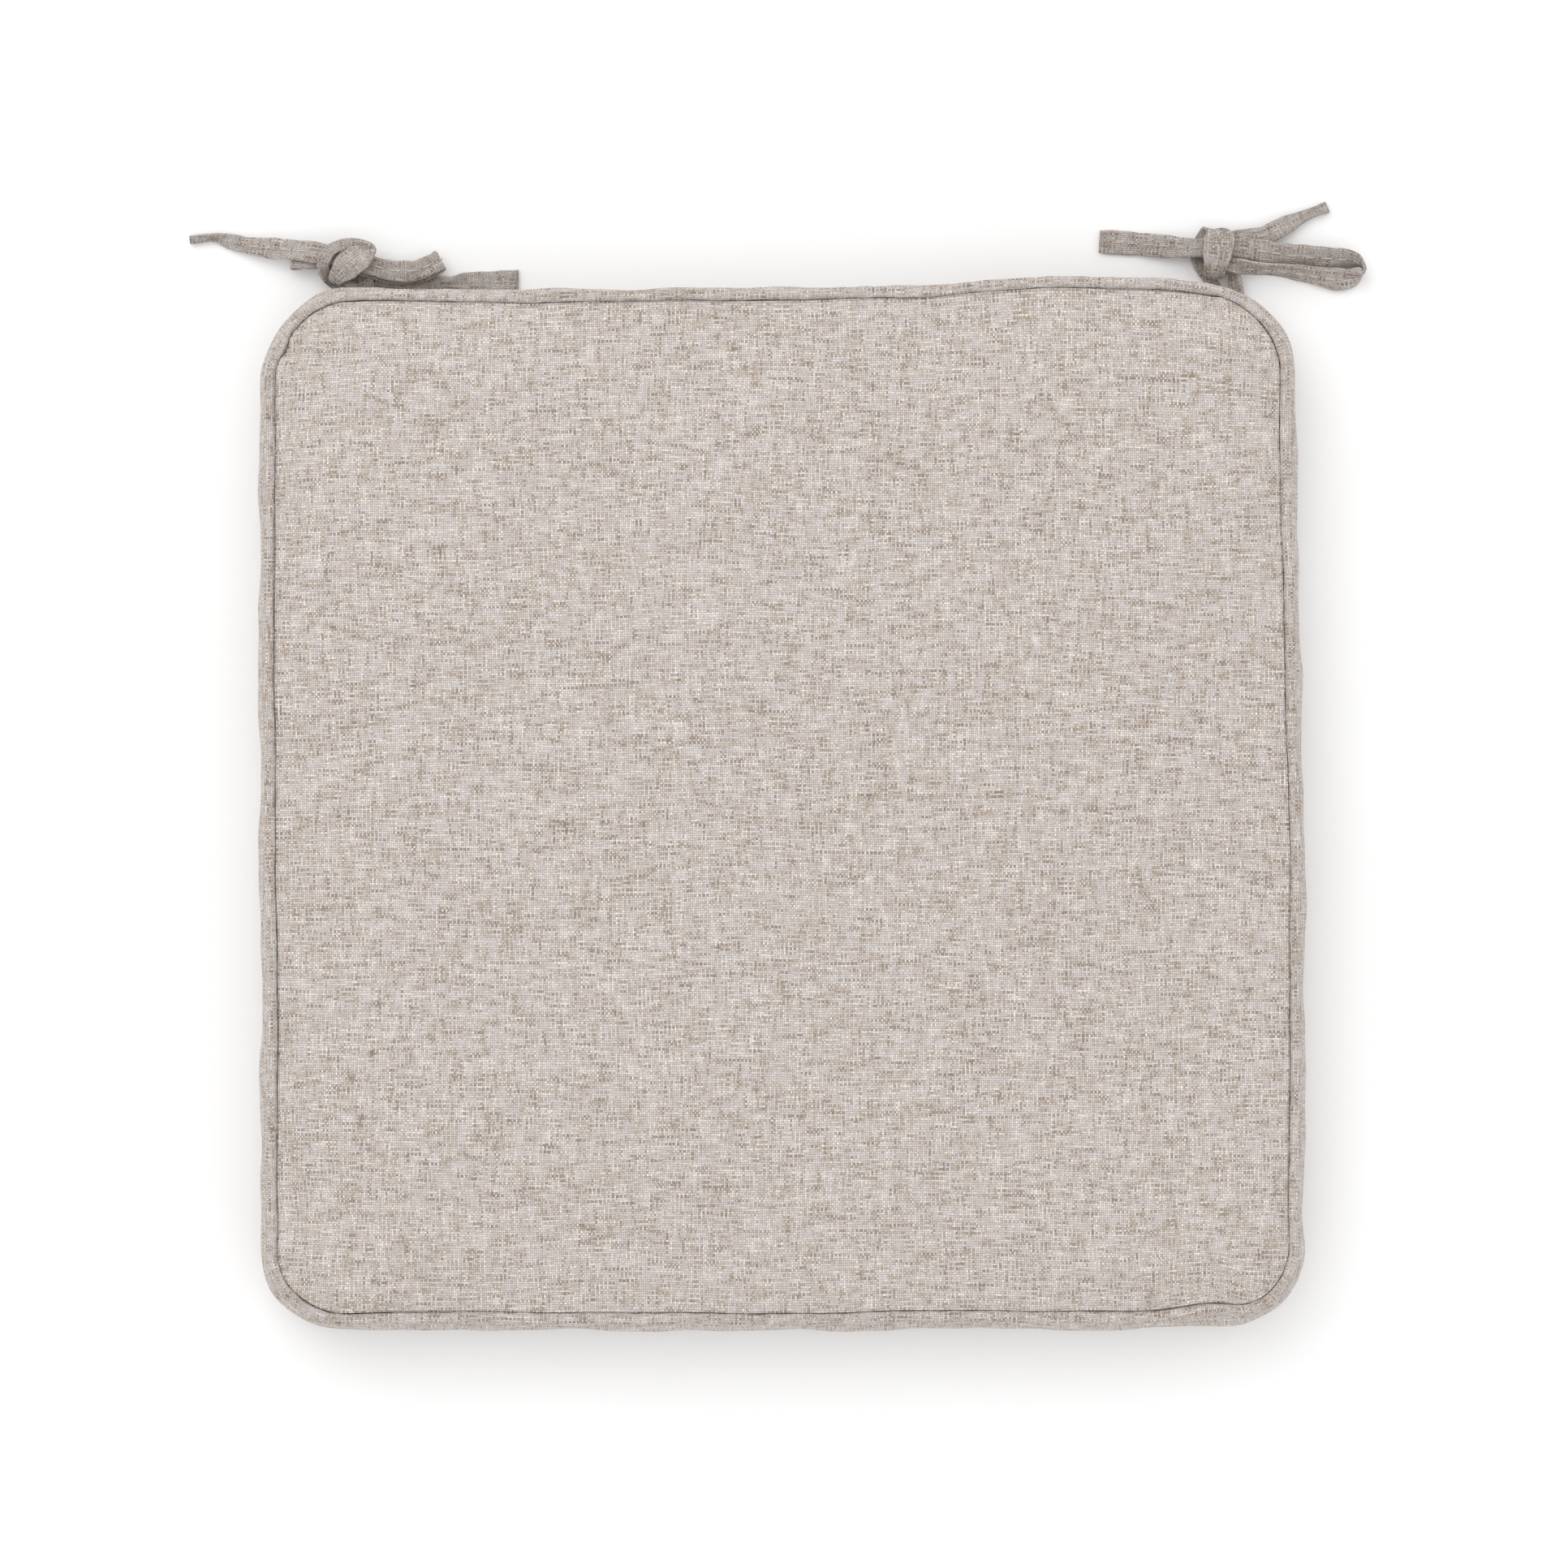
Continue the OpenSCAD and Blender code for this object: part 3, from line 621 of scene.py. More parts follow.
def top_panel():
    x0, y0 = panel_grid(87, 7)
    inside = seam_distance(x0, y0)
    s, nx, ny = edge_place(x0, y0)
    follow = np.exp(-inside / FOLLOW)
    shift = edge_out(s) * follow
    x, y = x0 + nx * shift, y0 + ny * shift
    rim_z = TOP_PIPE_Z + 1.1 * MM
    dome = CROWN_Z - rim_z - ROLL
    z = rim_z + ROLL * (1 - np.exp(-inside / ROLL_REACH)) + dome * (1 - np.exp(-inside / DOME_REACH))
    z += edge_up(s) * follow
    # Small pulls along the seam, and a few longer ones at the pinched corner
    z += ripple(s, PULLS) * near_seam(inside, 7 * MM, 1.5 * MM)
    z += ripple(s, CREASES) * hollow(s, PINCH_S, 24 * MM) * near_seam(inside, 13 * MM, 2.5 * MM)
    points = np.stack([x, y, z], axis=-1)
    panel = sheet_piece("top_panel_cloth", points, range(points.shape[0]), range(points.shape[1]), COVER)
    edge = [i for i, d in enumerate(inside.ravel()) if d < 1e-6]
    settle(panel, edge, pressure=2.0, slack=0.004, cap=2 * MM)
    tuck_edge(panel, points.shape[:2], x0, y0)
    return panel


def rim_loop(rows, cols):
    """The (row, col) places round a grid's rim, in order."""
    loop = [(r, 0) for r in range(rows)] + [(rows - 1, c) for c in range(1, cols)]
    return loop + [(r, cols - 1) for r in range(rows - 2, -1, -1)] + [(0, c) for c in range(cols - 2, 0, -1)]


def tuck_edge(panel, shape, x0, y0):
    """Adds two rows that turn the panel's edge down beside the piping and in under itself, sets the UVs
    to the flat cloth's own x and y, then makes it closed cloth."""
    rows, cols = shape
    co = np.array([v.co for v in panel.data.vertices]).reshape(rows, cols, 3)
    loop = rim_loop(rows, cols)
    rim = np.array([co[r, c] for r, c in loop])
    flat = np.array([(x0[r, c], y0[r, c]) for r, c in loop])
    _, nx, ny = edge_place(flat[:, 0], flat[:, 1])
    out = np.stack([nx, ny, np.zeros_like(nx)], axis=1)
    down = np.array([0, 0, -1.0])
    first = rim + 0.25 * MM * out + 0.8 * MM * down
    second = rim - 3.5 * MM * out + 1.1 * MM * down
    points = np.concatenate([co.reshape(-1, 3), first, second])
    uv = np.concatenate([
        np.stack([x0.ravel(), y0.ravel()], axis=1),
        flat + 1.0 * MM * out[:, :2], flat + 5.0 * MM * out[:, :2],
    ])
    faces, _ = grid_faces(rows, cols)
    base, count = rows * cols, len(loop)
    inner = [r * cols + c for r, c in loop]
    for i in range(count):
        j = (i + 1) % count
        faces.append([inner[i], base + i, base + j, inner[j]][::-1])
        faces.append([base + i, base + count + i, base + count + j, base + j][::-1])
    mesh = new_mesh("panel", points, faces, uv[[i for f in faces for i in f]], COVER)
    swap_mesh(panel, mesh)
    if mesh.polygons[0].normal.z < 0:
        mesh.flip_normals()
    thicken(panel, CLOTH_T, 1)


# ---- Piping ----
PIPE_WRINKLES = [(0.10 * MM, 131, 0.3), (0.08 * MM, 197, 1.7), (0.06 * MM, 61, 2.9)]
CORD_R = 1.68 * MM
CORD_TWIST = 2 * math.pi * round(PERIMETER / (16 * MM)) / PERIMETER  # radians in a metre


def edge_tube(name, z, s, around, radius, material, slot, node):
    """A tube along the piping's line at height z. radius has a row for each s and a column for each angle."""
    if z > MID_Z:
        out, up = edge_out(s), edge_up(s)
    else:
        out, up = LOW_SHARE * wall_out(s), closed_ripple(s, LOW_EDGE_UP)
    inset = PIPE_IN - out[:, None] - radius * np.cos(around)
    points = on_edge(s[:, None], inset, z + up[:, None] + radius * np.sin(around))
    u, v = np.append(s, PERIMETER), np.append(around, 2 * math.pi) * PIPE_R
    piece = sheet_piece(name, points, u, v, material, loop_rows=True, loop_cols=True)
    finish_piece(piece, "cover", slot, node)


def piping(name, z, node):
    """Cloth drawn round a cord: a tube that closes on itself, with small cross wrinkles."""
    s = edge_steps(2.5 * MM)[:-1]
    around = np.radians(np.arange(0, 360, 20))
    radius = PIPE_R - 0.15 * MM - PINCH_THIN * hollow(s, PINCH_S, PINCH_HALF)
    radius = (radius + closed_ripple(s, PIPE_WRINKLES))[:, None]
    radius = radius * (1 + 0.04 * np.cos(3 * around + 40 * s[:, None]))
    edge_tube(name, z, s, around, radius, PIPING, "piping_cloth", node)


def piping_cord(name, z, node):
    """The twisted cord inside the piping: three plies round each other."""
    s = edge_steps(2.5 * MM)[:-1]
    around = np.radians(np.arange(0, 360, 15))
    plies = 0.06 * np.abs(np.cos(1.5 * (around + CORD_TWIST * s[:, None])))
    radius = CORD_R * (1 + plies - 0.25 * hollow(s, PINCH_S, PINCH_HALF)[:, None])
    edge_tube(name, z, s, around, radius, CORD, "piping_cord", node)


# ---- Straps and stitches ----
def smooth_route(route, steps):
    """Catmull-Rom through the route's points. Columns: x, y, z, width direction x, y, z, width."""
    p = np.vstack([2 * route[0] - route[1], route, 2 * route[-1] - route[-2]])
    t = np.linspace(0, 1, steps, endpoint=False)[:, None]
    out = []
    for a, b, c, d in zip(p, p[1:], p[2:], p[3:]):
        curve = (2 * a - 5 * b + 4 * c - d) * t**2 + (3 * b - a - 3 * c + d) * t**3
        out.append(0.5 * (2 * b + (c - a) * t + curve))
    return np.vstack(out + [route[-1:]])


# Strap routes, as in the CAD model, in millimetres from the root of each knot.
RIGHT_BOW = [
    (8.5, 0.5, 1.5, 1, 0, 0, 7),
    (8.5, 4.5, 3, 1, 0, 0.3, 6),
    (7, 11.5, 6, 0.5, 0.6, 0.6, 5),
    (3, 13.5, 6.5, 0, 1, 0, 5),
    (-2, 14, 6, 0, 1, 0, 5),
    (-4, 14, 7.5, 0, 1, 0, 5),
    (-2, 14, 9, 0, 1, 0, 5),
    (6, 13, 9, 0, 1, 0.3, 6),
    (15, 12, 8, 0, 0.5, 0.9, 8),
    (26, 11.5, 6.5, 0, 0.4, 0.9, 9),
    (37, 10, 5.5, 0, 0.6, 0.8, 9.5),
    (49, 8, 5, 0, 0.8, 0.6, 10),
    (57, 8.5, 5.5, 0.2, 0.5, 0.8, 10),
    (60.5, 12, 6, 0, 0, 1, 10),
    (57, 15.5, 6, -0.2, 0.5, 0.8, 10),
    (47, 16.5, 5.5, 0, 0.8, 0.6, 10),
    (33, 17.5, 6, 0, 0.8, 0.6, 10),
    (20, 19, 7, 0, 1, 0.3, 9),
    (9, 20.5, 7.5, 0, 1, 0, 8),
    (0, 21, 7.5, 0, 1, 0, 7),
    (-9, 20.5, 6.5, 0, 1, 0, 8),
    (-19, 21.5, 4, 0, 1, 0, 9),
    (-32, 23, 1.5, 0, 1, 0, 9.5),
    (-47, 24, 1, 0, 1, 0, 9.5),
]
RIGHT_WRAP = [
    (1, 1.6, 1.2, 1, 0, 0, 6),
    (0.6, 4, 1.2, 1, 0.2, 0, 5.5),
    (-2.5, 9, 1.3, 0.8, 0.5, 0, 5),
    (-6, 13, 1.5, 1, 0.4, 0, 4.5),
    (-7.5, 19, 2, 1, 0, 0, 5),
    (-4.5, 25.5, 4, 1, -0.3, 0.2, 6),
    (-1, 27.5, 8, 1, 0, 0, 8.5),
    (0.8, 24.5, 11.5, 1, 0.1, 0, 12),
    (0.3, 17.5, 12.8, 1, 0.1, 0, 11.5),
    (-0.6, 11, 11.5, 1, 0.1, 0, 9.5),
    (-0.8, 8.5, 7.5, 1, 0, 0, 8.5),
    (1, 11, 3.5, 1, 0, 0, 7.5),
    (2.5, 19, 3.2, 1, -0.2, 0, 6.5),
    (6.5, 24, 3.5, 0.7, -0.7, 0, 6.5),
    (13, 25, 4, 0.2, -1, 0, 7.5),
    (20, 26, 4, 0.2, -1, 0, 8),
    (30, 31, 3, 0.4, -0.9, 0, 7),
    (38, 35, 2, 0.4, -0.9, 0.3, 4.5),
    (46, 38, 2, 0.3, -0.9, 0.3, 4.5),
]
LEFT_BOW = [
    (8.5, 0.5, 1.5, 1, 0, 0, 7),
    (8.5, 4.5, 3.8, 1, 0, 0, 6),
    (6.5, 10.5, 4.4, 0.8, 0.6, 0, 5.5),
    (0, 13.5, 4.6, 0.2, 1, 0, 5.5),
    (-10, 15.5, 4.2, 0, 1, 0, 7),
    (-19, 17, 3.4, 0.2, 1, 0, 10),
    (-21.5, 17, 4.8, 0.2, 1, 0, 10),
    (-19, 17, 6.2, 0.2, 1, 0, 10),
    (-10, 15.5, 6.8, 0, 1, 0, 7),
    (0, 13.5, 7.2, 0, 1, 0, 5.5),
    (9, 11.5, 6.5, 0, 1, 0, 6.5),
    (19, 10, 4.8, 0, 1, 0, 8),
    (28, 10.5, 4, 0, 1, 0, 8.5),
    (35.5, 13.5, 4.2, -0.4, 0.9, 0, 8.5),
    (38, 15.5, 5.5, -0.4, 0.9, 0, 8.5),
    (35.5, 14, 6.9, -0.4, 0.9, 0, 8.5),
    (28, 11, 7, 0, 1, 0, 8.5),
    (19, 11, 8, 0, 1, 0, 8.5),
    (10, 13, 9.4, 0, 1, 0, 8),
    (0, 15.5, 9.8, 0, 1, 0, 7),
    (-10.5, 18, 9.2, 0, 1, 0, 8.5),
    (-21.5, 19.5, 8, 0, 1, 0, 8.5),
    (-30, 20.5, 5.5, 0, 1, 0, 8.5),
    (-40, 22, 3.2, 0, 1, 0, 7),
    (-48, 24, 2, 0, 1, 0.3, 6),
    (-54, 25.5, 2.1, 0, 1, 0.5, 3.5),
    (-64, 24.5, 1.8, 0, 1, 0.3, 3.5),
]
LEFT_WRAP = [
    (-1.6, 1.5, 1.3, 1, 0, 0, 5.5),
    (-1.9, 3.2, 1.4, 1, 0.2, 0, 5),
    (-4.5, 6.6, 2.4, 0.7, 0.7, 0, 5),
    (-7.8, 8.7, 6.6, 0.6, 0.8, 0, 5),
    (-9, 13.3, 11.7, 1, -0.2, 0, 5.5),
    (-6.3, 18.2, 12.7, 0.6, -0.8, 0, 5),
    (-1.5, 20.6, 11.9, 0.3, -1, 0, 5.5),
    (4, 20.9, 11.2, 0, -1, 0, 6),
    (9.3, 18.8, 11.6, -0.8, -0.5, 0, 6.5),
    (6.8, 16.2, 14, -0.8, 0.6, 0, 10),
    (1.6, 12.4, 14.6, -0.7, 0.7, 0, 12),
    (-2.6, 8.6, 12, -0.7, 0.7, 0, 8),
    (-4, 6.5, 8, -1, 0.3, 0, 5),
    (-2, 8, 4.4, -0.7, 0.7, 0, 5),
    (2, 9.5, 1.8, 0, 1, 0, 5.5),
    (9, 9, 1.2, 0, 1, 0, 5.5),
    (20, 8, 1, 0, 1, 0, 7.5),
    (31, 7.5, 1, 0, 1, 0, 7.5),
    (41.5, 7, 2.3, 0, 1, 0.6, 5),
    (51, 7.5, 1, 0, 1, 0, 8),
    (70, 7.5, 0.9, 0, 1, 0, 9.5),
]
STRAP_W = 10 * MM
STRAP_T = 1.5 * MM
STITCH_PITCH = 6.6 * MM
STITCH_L = 4.2 * MM
STITCH_R = 0.27 * MM
STITCH_WIDTH = 6.8 * MM  # a strap that is bunched narrower than this hides its stitches


def strap_frames(route, side, steps=8):
    """Centres, tangents, width directions, normals, widths and distances along a strap."""
    table = np.array(route, float)
    table[:, :3] = table[:, :3] * MM + (side * KNOT_X, ROOT_Y, 0)
    table[:, 6] *= MM
    line = smooth_route(table, steps)
    centre = line[:, :3]
    t = np.gradient(centre, axis=0)
    t /= np.linalg.norm(t, axis=1, keepdims=True)
    u = line[:, 3:6]
    u = u - (u * t).sum(1, keepdims=True) * t
    u /= np.linalg.norm(u, axis=1, keepdims=True)
    n = np.cross(t, u)
    along = np.append(0, np.cumsum(np.linalg.norm(np.diff(centre, axis=0), axis=1)))
    return centre, t, u, n, line[:, 6], along


def strap_thickness(width):
    """Cloth that is bunched narrower is thicker."""
    return STRAP_T * math.sqrt(max(1.0, STRAP_W / width))


def strap_section(width, along):
    """Across and through offsets of a strap's outline. The two folded edges meet in a groove
    along the middle of the upper face, and cloth that is bunched narrower has ridges along it."""
    turn = np.radians(np.arange(0, 360, 10))
    thick = strap_thickness(width)
    a = np.sign(np.cos(turn)) * np.abs(np.cos(turn)) ** 0.55
    b = np.sign(np.sin(turn)) * np.abs(np.sin(turn)) ** 0.55
    bunched = min(1.0, max(0.0, (9.5 * MM - width) / (4 * MM)))
    groove = 0.34 * np.exp(-((a / 0.10) ** 2)) * np.sign(b)
    ridges = bunched * 0.22 * np.cos(a * 7 + 2.2 * math.sin(along * 260)) * np.sign(b)
    swell = 1 + 0.06 * math.sin(along * 410 + 1)
    wide = width * (1 + 0.035 * math.sin(along * 330) + 0.025 * math.sin(along * 790 + 2))
    return a * wide / 2, (b * swell - groove + ridges) * thick / 2


def strap(name, route, side, body, node):
    centre, _, u, n, width, along = strap_frames(route, side)
    rings = []
    for i in range(len(centre)):
        a, b = strap_section(width[i], along[i])
        rings.append(centre[i] + a[:, None] * u[i] + b[:, None] * n[i])
    rings = np.array(rings)
    a, b = strap_section(STRAP_W, 0)
    around = np.append(0, np.cumsum(np.hypot(np.diff(a, append=a[0]), np.diff(b, append=b[0]))))
    piece = sheet_piece(name, rings, along, around, TIE, loop_cols=True, flip=True)
    close_ends(piece, *rings.shape[:2])
    finish_piece(piece, body, "tie_cloth", node)


def close_ends(piece, rows, cols):
    """Caps a tube's two ends with a fan of flat faces round the ring's middle."""
    mesh = bmesh.new()
    mesh.from_mesh(piece.data)
    layer = mesh.loops.layers.uv.active
    for first in (0, (rows - 1) * cols):
        mesh.verts.ensure_lookup_table()
        ring = [mesh.verts[first + i] for i in range(cols)]
        middle = mesh.verts.new(sum((v.co for v in ring), Vector()) / cols)
        for i in range(cols):
            face = mesh.faces.new((ring[i], ring[(i + 1) % cols], middle))
            face.smooth = False
            for loop in face.loops:
                loop[layer].uv = (loop.vert.co.x, loop.vert.co.z)
    bmesh.ops.recalc_face_normals(mesh, faces=mesh.faces)
    mesh.to_mesh(piece.data)
    mesh.free()


def stitch_row(name, places, directions, normals, length, radius, body):
    """A row of separate sewn dashes, each a short rounded thread that dips in at both ends."""
    sides, rings = 6, 7
    turn = np.radians(np.arange(sides) * 360 / sides)
    t = np.linspace(-1, 1, rings)
    points, faces, uvs = [], [], []
    for p, d, n in zip(places, directions, normals):
        across = np.cross(d, n)
        base = len(points)
        for k in t:
            thick = radius * math.sqrt(max(0.04, 1 - k**4))
            middle = p + d * k * length / 2 + n * radius * (0.5 - 1.2 * k**4)
            points += [middle + thick * (math.cos(a) * across + math.sin(a) * n) for a in turn]
        for r in range(rings - 1):
            for c in range(sides):
                quad = [(r, c), (r, c + 1), (r + 1, c + 1), (r + 1, c)]
                faces.append([base + a * sides + b % sides for a, b in quad])
                uvs += [(a * length / rings, b * radius) for a, b in quad]
        for end, order in ((0, 1), (rings - 1, -1)):
            ring = [base + end * sides + c for c in range(sides)][:: -order]
            faces.append(ring)
            uvs += [(0, 0)] * sides
    piece = new_piece(name, points, faces, uvs, STITCH)
    finish_piece(piece, body, "cover_cloth" if body == "cover" else "tie_cloth")


def strap_stitches(name, routes, side, body):
    places, directions, normals = [], [], []
    for route in routes:
        centre, t, _, n, width, along = strap_frames(route, side)
        at = np.arange(4 * MM, along[-1] - 3 * MM, STITCH_PITCH)
        pick = [int(np.argmin(np.abs(along - k))) for k in at]
        for i in pick:
            if width[i] < STITCH_WIDTH:
                continue
            lift = 0.5 * strap_thickness(width[i]) - 0.22 * MM
            for face in (-1, 1):
                places.append(centre[i] + face * n[i] * lift)
                directions.append(t[i])
                normals.append(face * n[i])
    stitch_row(name, places, directions, normals, STITCH_L, STITCH_R, body)


def ties():
    strap("left_bow_strap", LEFT_BOW, -1, "left_tie", "left_tie_bow_strap")
    strap("left_wrap_strap", LEFT_WRAP, -1, "left_tie", "left_tie_wrap_strap")
    strap("right_bow_strap", RIGHT_BOW, 1, "right_tie", "right_tie_bow_strap")
    strap("right_wrap_strap", RIGHT_WRAP, 1, "right_tie", "right_tie_wrap_strap")
    strap_stitches("left_tie_stitching", (LEFT_BOW, LEFT_WRAP), -1, "left_tie")
    strap_stitches("right_tie_stitching", (RIGHT_BOW, RIGHT_WRAP), 1, "right_tie")


# ---- Side walls ----
WALL_IN = 6.2 * MM
WALL_HALF = (TOP_PIPE_Z - LOW_PIPE_Z) / 2 - 2.66 * MM
BULGE_R = (WALL_IN**2 + WALL_HALF**2) / (2 * WALL_IN)
ZIP_HALF = 160 * MM
LIP = 4.3 * MM
BUCKLES = [(0.45 * MM, 83 * MM, 0.3), (0.3 * MM, 47 * MM, 2.2), (0.15 * MM, 23 * MM, 1.0)]
PUCKERS = [(0.16 * MM, 8.5 * MM, 0.2), (0.12 * MM, 12.5 * MM, 1.9), (0.1 * MM, 5.9 * MM, 0.8)]


def wall_profile(low, high, steps):
    """Insets and heights above the middle along the bulge, from height high down to low."""
    a0, a1 = math.asin(high / BULGE_R), math.asin(low / BULGE_R)
    a = np.linspace(a0, a1, steps)
    return BULGE_R - BULGE_R * np.cos(a), BULGE_R * np.sin(a)


def tucks():
    """The turned-in allowance above the wall: insets, then heights above the middle."""
    return [11 * MM, 8.6 * MM, 7.2 * MM], [WALL_HALF + 1.5 * MM, WALL_HALF + 1.45 * MM, WALL_HALF + 0.9 * MM]


def lengths(inset, height):
    return np.append(0, np.cumsum(np.hypot(np.diff(inset), np.diff(height))))


def wall_relief(s, height):
    """Gentle buckles in the wall, and short puckers that fade away from the two seams."""
    edge = np.clip(np.abs(height) / WALL_HALF, 0, 1)
    buckle = ripple(s + 0.4 * height, BUCKLES)
    return buckle * (1 - edge**2) + ripple(s, PUCKERS) * edge**3 * (1.02 - edge**12)


def wall_points(s, inset, height):
    """Points on the wall, with its drift and its buckles. height is above the middle."""
    near_top = np.clip(0.5 + height / (2 * WALL_HALF), 0, 1)
    out = wall_out(s) * (LOW_SHARE + (1 - LOW_SHARE) * near_top) + lean(s) * near_top**2
    out += wall_relief(s, height) - 0.35 * MM
    out += SWELL * hollow(s, SWELL_S, SWELL_HALF) * 4 * near_top * (1 - near_top)
    return on_edge(s, inset - out, MID_Z + height + edge_up(s) * near_top)


def wall_piece(name, s, inset, height, node):
    inset, height = np.array(inset), np.array(height)
    S, H = np.meshgrid(s, height, indexing="ij")
    points = wall_points(S, np.broadcast_to(inset, S.shape), H)
    piece = sheet_piece(name, points, s, lengths(inset, height), COVER)
    thicken(piece)
    finish_piece(piece, "cover", "cover_cloth", node)


def side_walls():
    tuck_in, tuck_h = tucks()
    inset, height = wall_profile(-WALL_HALF, WALL_HALF, 19)
    inset = np.concatenate([tuck_in, inset, tuck_in[::-1]])
    height = np.concatenate([tuck_h, height, [-h for h in tuck_h[::-1]]])
    s = edge_steps(3 * MM, ZIP_HALF, PERIMETER - 2 * ZIP_HALF)
    wall_piece("side_boxing_cloth", s, inset, height, "side_boxing")


def rear_wall(name, sign, node):
    """Half of the zipped back wall: from its seam to the lip, then the hem folded back inside."""
    tuck_in, tuck_h = tucks()
    inset, height = wall_profile(LIP, WALL_HALF, 9)
    fold_in = inset[-1] + np.array([0.35, 0.9, 1.2]) * MM
    fold_h = LIP + np.array([-0.35, -0.25, 0.6]) * MM
    hem_h = np.array([6, 8]) * MM
    hem_in = BULGE_R - np.sqrt(BULGE_R**2 - hem_h**2) + 1.2 * MM
    inset = np.concatenate([tuck_in, inset, fold_in, hem_in])
    height = sign * np.concatenate([tuck_h, height, fold_h, hem_h])
    s = edge_steps(3 * MM, -ZIP_HALF, 2 * ZIP_HALF)
    if sign < 0:
        inset, height = inset[::-1], height[::-1]
    wall_piece(name, s, inset, height, node)


def bottom_panel():
    x0, y0 = panel_grid(58, 5)
    inside = seam_distance(x0, y0)
    rise = (LOW_PIPE_Z - 1.1 * MM) * np.exp(-inside / (2.2 * MM))
    z = rise + 0.02 * MM
    points = np.stack([x0, y0, z], axis=-1)
    rows, cols = points.shape[:2]
    piece = sheet_piece("bottom_panel_cloth", points, x0[:, cols // 2], y0[rows // 2], COVER, flip=True)
    thicken(piece, CLOTH_T, 1)
    finish_piece(piece, "cover", "cover_cloth", "bottom_panel")


# ---- Filling ----
def block(name, inset, cells, upper, under, sides, relief, material, slot, node):
    """A closed soft block with an upper and an under surface and sides through the given rings.
    upper and under are heights, functions of how far in from the rim a point lies. Each ring is
    (distance out from the rim, height)."""
    x, y = panel_grid(cells, 6, inset)
    inside = seam_distance(x, y, inset)
    rows, cols = x.shape
    loop = rim_loop(rows, cols)
    index = [r * cols + c for r, c in loop]
    rim = np.array([(x[r, c], y[r, c]) for r, c in loop])
    _, nx, ny = edge_place(rim[:, 0], rim[:, 1])
    wave = relief * (np.sin(x * 61 + 1) * np.sin(y * 53) + 0.5 * np.sin(x * 170 + y * 120))
    top = np.stack([x, y, upper(inside) + wave], axis=-1).reshape(-1, 3)
    base = np.stack([x, y, under(inside)], axis=-1).reshape(-1, 3)
    out = np.stack([nx, ny], axis=1)
    rings = [np.column_stack([rim + k * out, np.full(len(rim), z)]) for k, z in sides]
    points = np.concatenate([top, base] + rings)
    faces, _ = grid_faces(rows, cols)
    upper_faces = [f[::-1] for f in faces]
    under_faces = [[i + rows * cols for i in f] for f in faces]
    chain = [index]
    chain += [[2 * rows * cols + k * len(rim) + i for i in range(len(rim))] for k in range(len(rings))]
    chain += [[i + rows * cols for i in index]]
    walls = []
    for a, b in zip(chain, chain[1:]):
        for i in range(len(rim)):
            j = (i + 1) % len(rim)
            walls.append([a[i], b[i], b[j], a[j]])
    faces = upper_faces + under_faces + walls
    uvs = points[[i for f in faces for i in f]][:, :2]
    piece = new_piece(name, points, faces, uvs, material)
    mesh = bmesh.new()
    mesh.from_mesh(piece.data)
    bmesh.ops.recalc_face_normals(mesh, faces=mesh.faces)
    mesh.to_mesh(piece.data)
    mesh.free()
    finish_piece(piece, "cover", slot, node)


def level(z):
    return lambda d: np.full_like(d, z)


def filling():
    foam_lo, foam_hi = (corner.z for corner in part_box("foam_core"))
    bulge = [(1.2, foam_hi - 0.3 * MM), (3, foam_hi - 1.6 * MM), (4.4, foam_hi - 5 * MM), (5, MID_Z)]
    bulge += [(4.4, foam_lo + 5 * MM), (3, foam_lo + 1.6 * MM), (1.2, foam_lo + 0.3 * MM)]
    block(
        "foam_block", 13 * MM, 30, level(foam_hi - 0.1 * MM), level(foam_lo),
        [(k * MM, z) for k, z in bulge], 0.05 * MM, foam_material(), "foam", "foam_core",
    )
    top_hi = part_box("top_wadding")[1].z
    block(
        "top_wadding_pad", 18 * MM, 40,
        lambda d: foam_hi + 1.2 * MM + (top_hi - foam_hi - 1.6 * MM) * (1 - np.exp(-d / (14 * MM))),
        level(foam_hi + 0.2 * MM), [(0.6 * MM, foam_hi + 0.7 * MM)],
        0.15 * MM, wadding_material(), "wadding", "top_wadding",
    )
    low_lo, low_hi = (corner.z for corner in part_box("bottom_wadding"))
    block(
        "bottom_wadding_pad", 17 * MM, 30, lambda d: low_hi - 0.9 * MM * np.exp(-d / (6 * MM)),
        lambda d: low_lo + 0.9 * MM * np.exp(-d / (6 * MM)), [(0.9 * MM, (low_lo + low_hi) / 2)],
        0.06 * MM, wadding_material(), "wadding", "bottom_wadding",
    )


# ---- Zip ----
COIL_PITCH = 1.4 * MM
COIL_WIRE = 0.3 * MM


def zip_tape(name):
    tape_lo, tape_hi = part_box(f"zip_tape_{name}")
    x = np.linspace(tape_lo.x, tape_hi.x, 160)
    z = np.linspace(tape_lo.z, tape_hi.z, 8)
    X, Z = np.meshgrid(x, z, indexing="ij")
    wave = 0.12 * MM * np.sin(X * 90) * np.clip((np.abs(Z - MID_Z) - 2 * MM) / (8 * MM), 0, 1)
    tape = sheet_piece(
        f"zip_tape_{name}_cloth", np.stack([X, tape_hi.y - 0.05 * MM + wave, Z], axis=-1), x, z, ZIP_TAPE,
    )
    thicken(tape, 0.4 * MM)
    finish_piece(tape, "cover", "zip_tape", f"zip_tape_{name}")


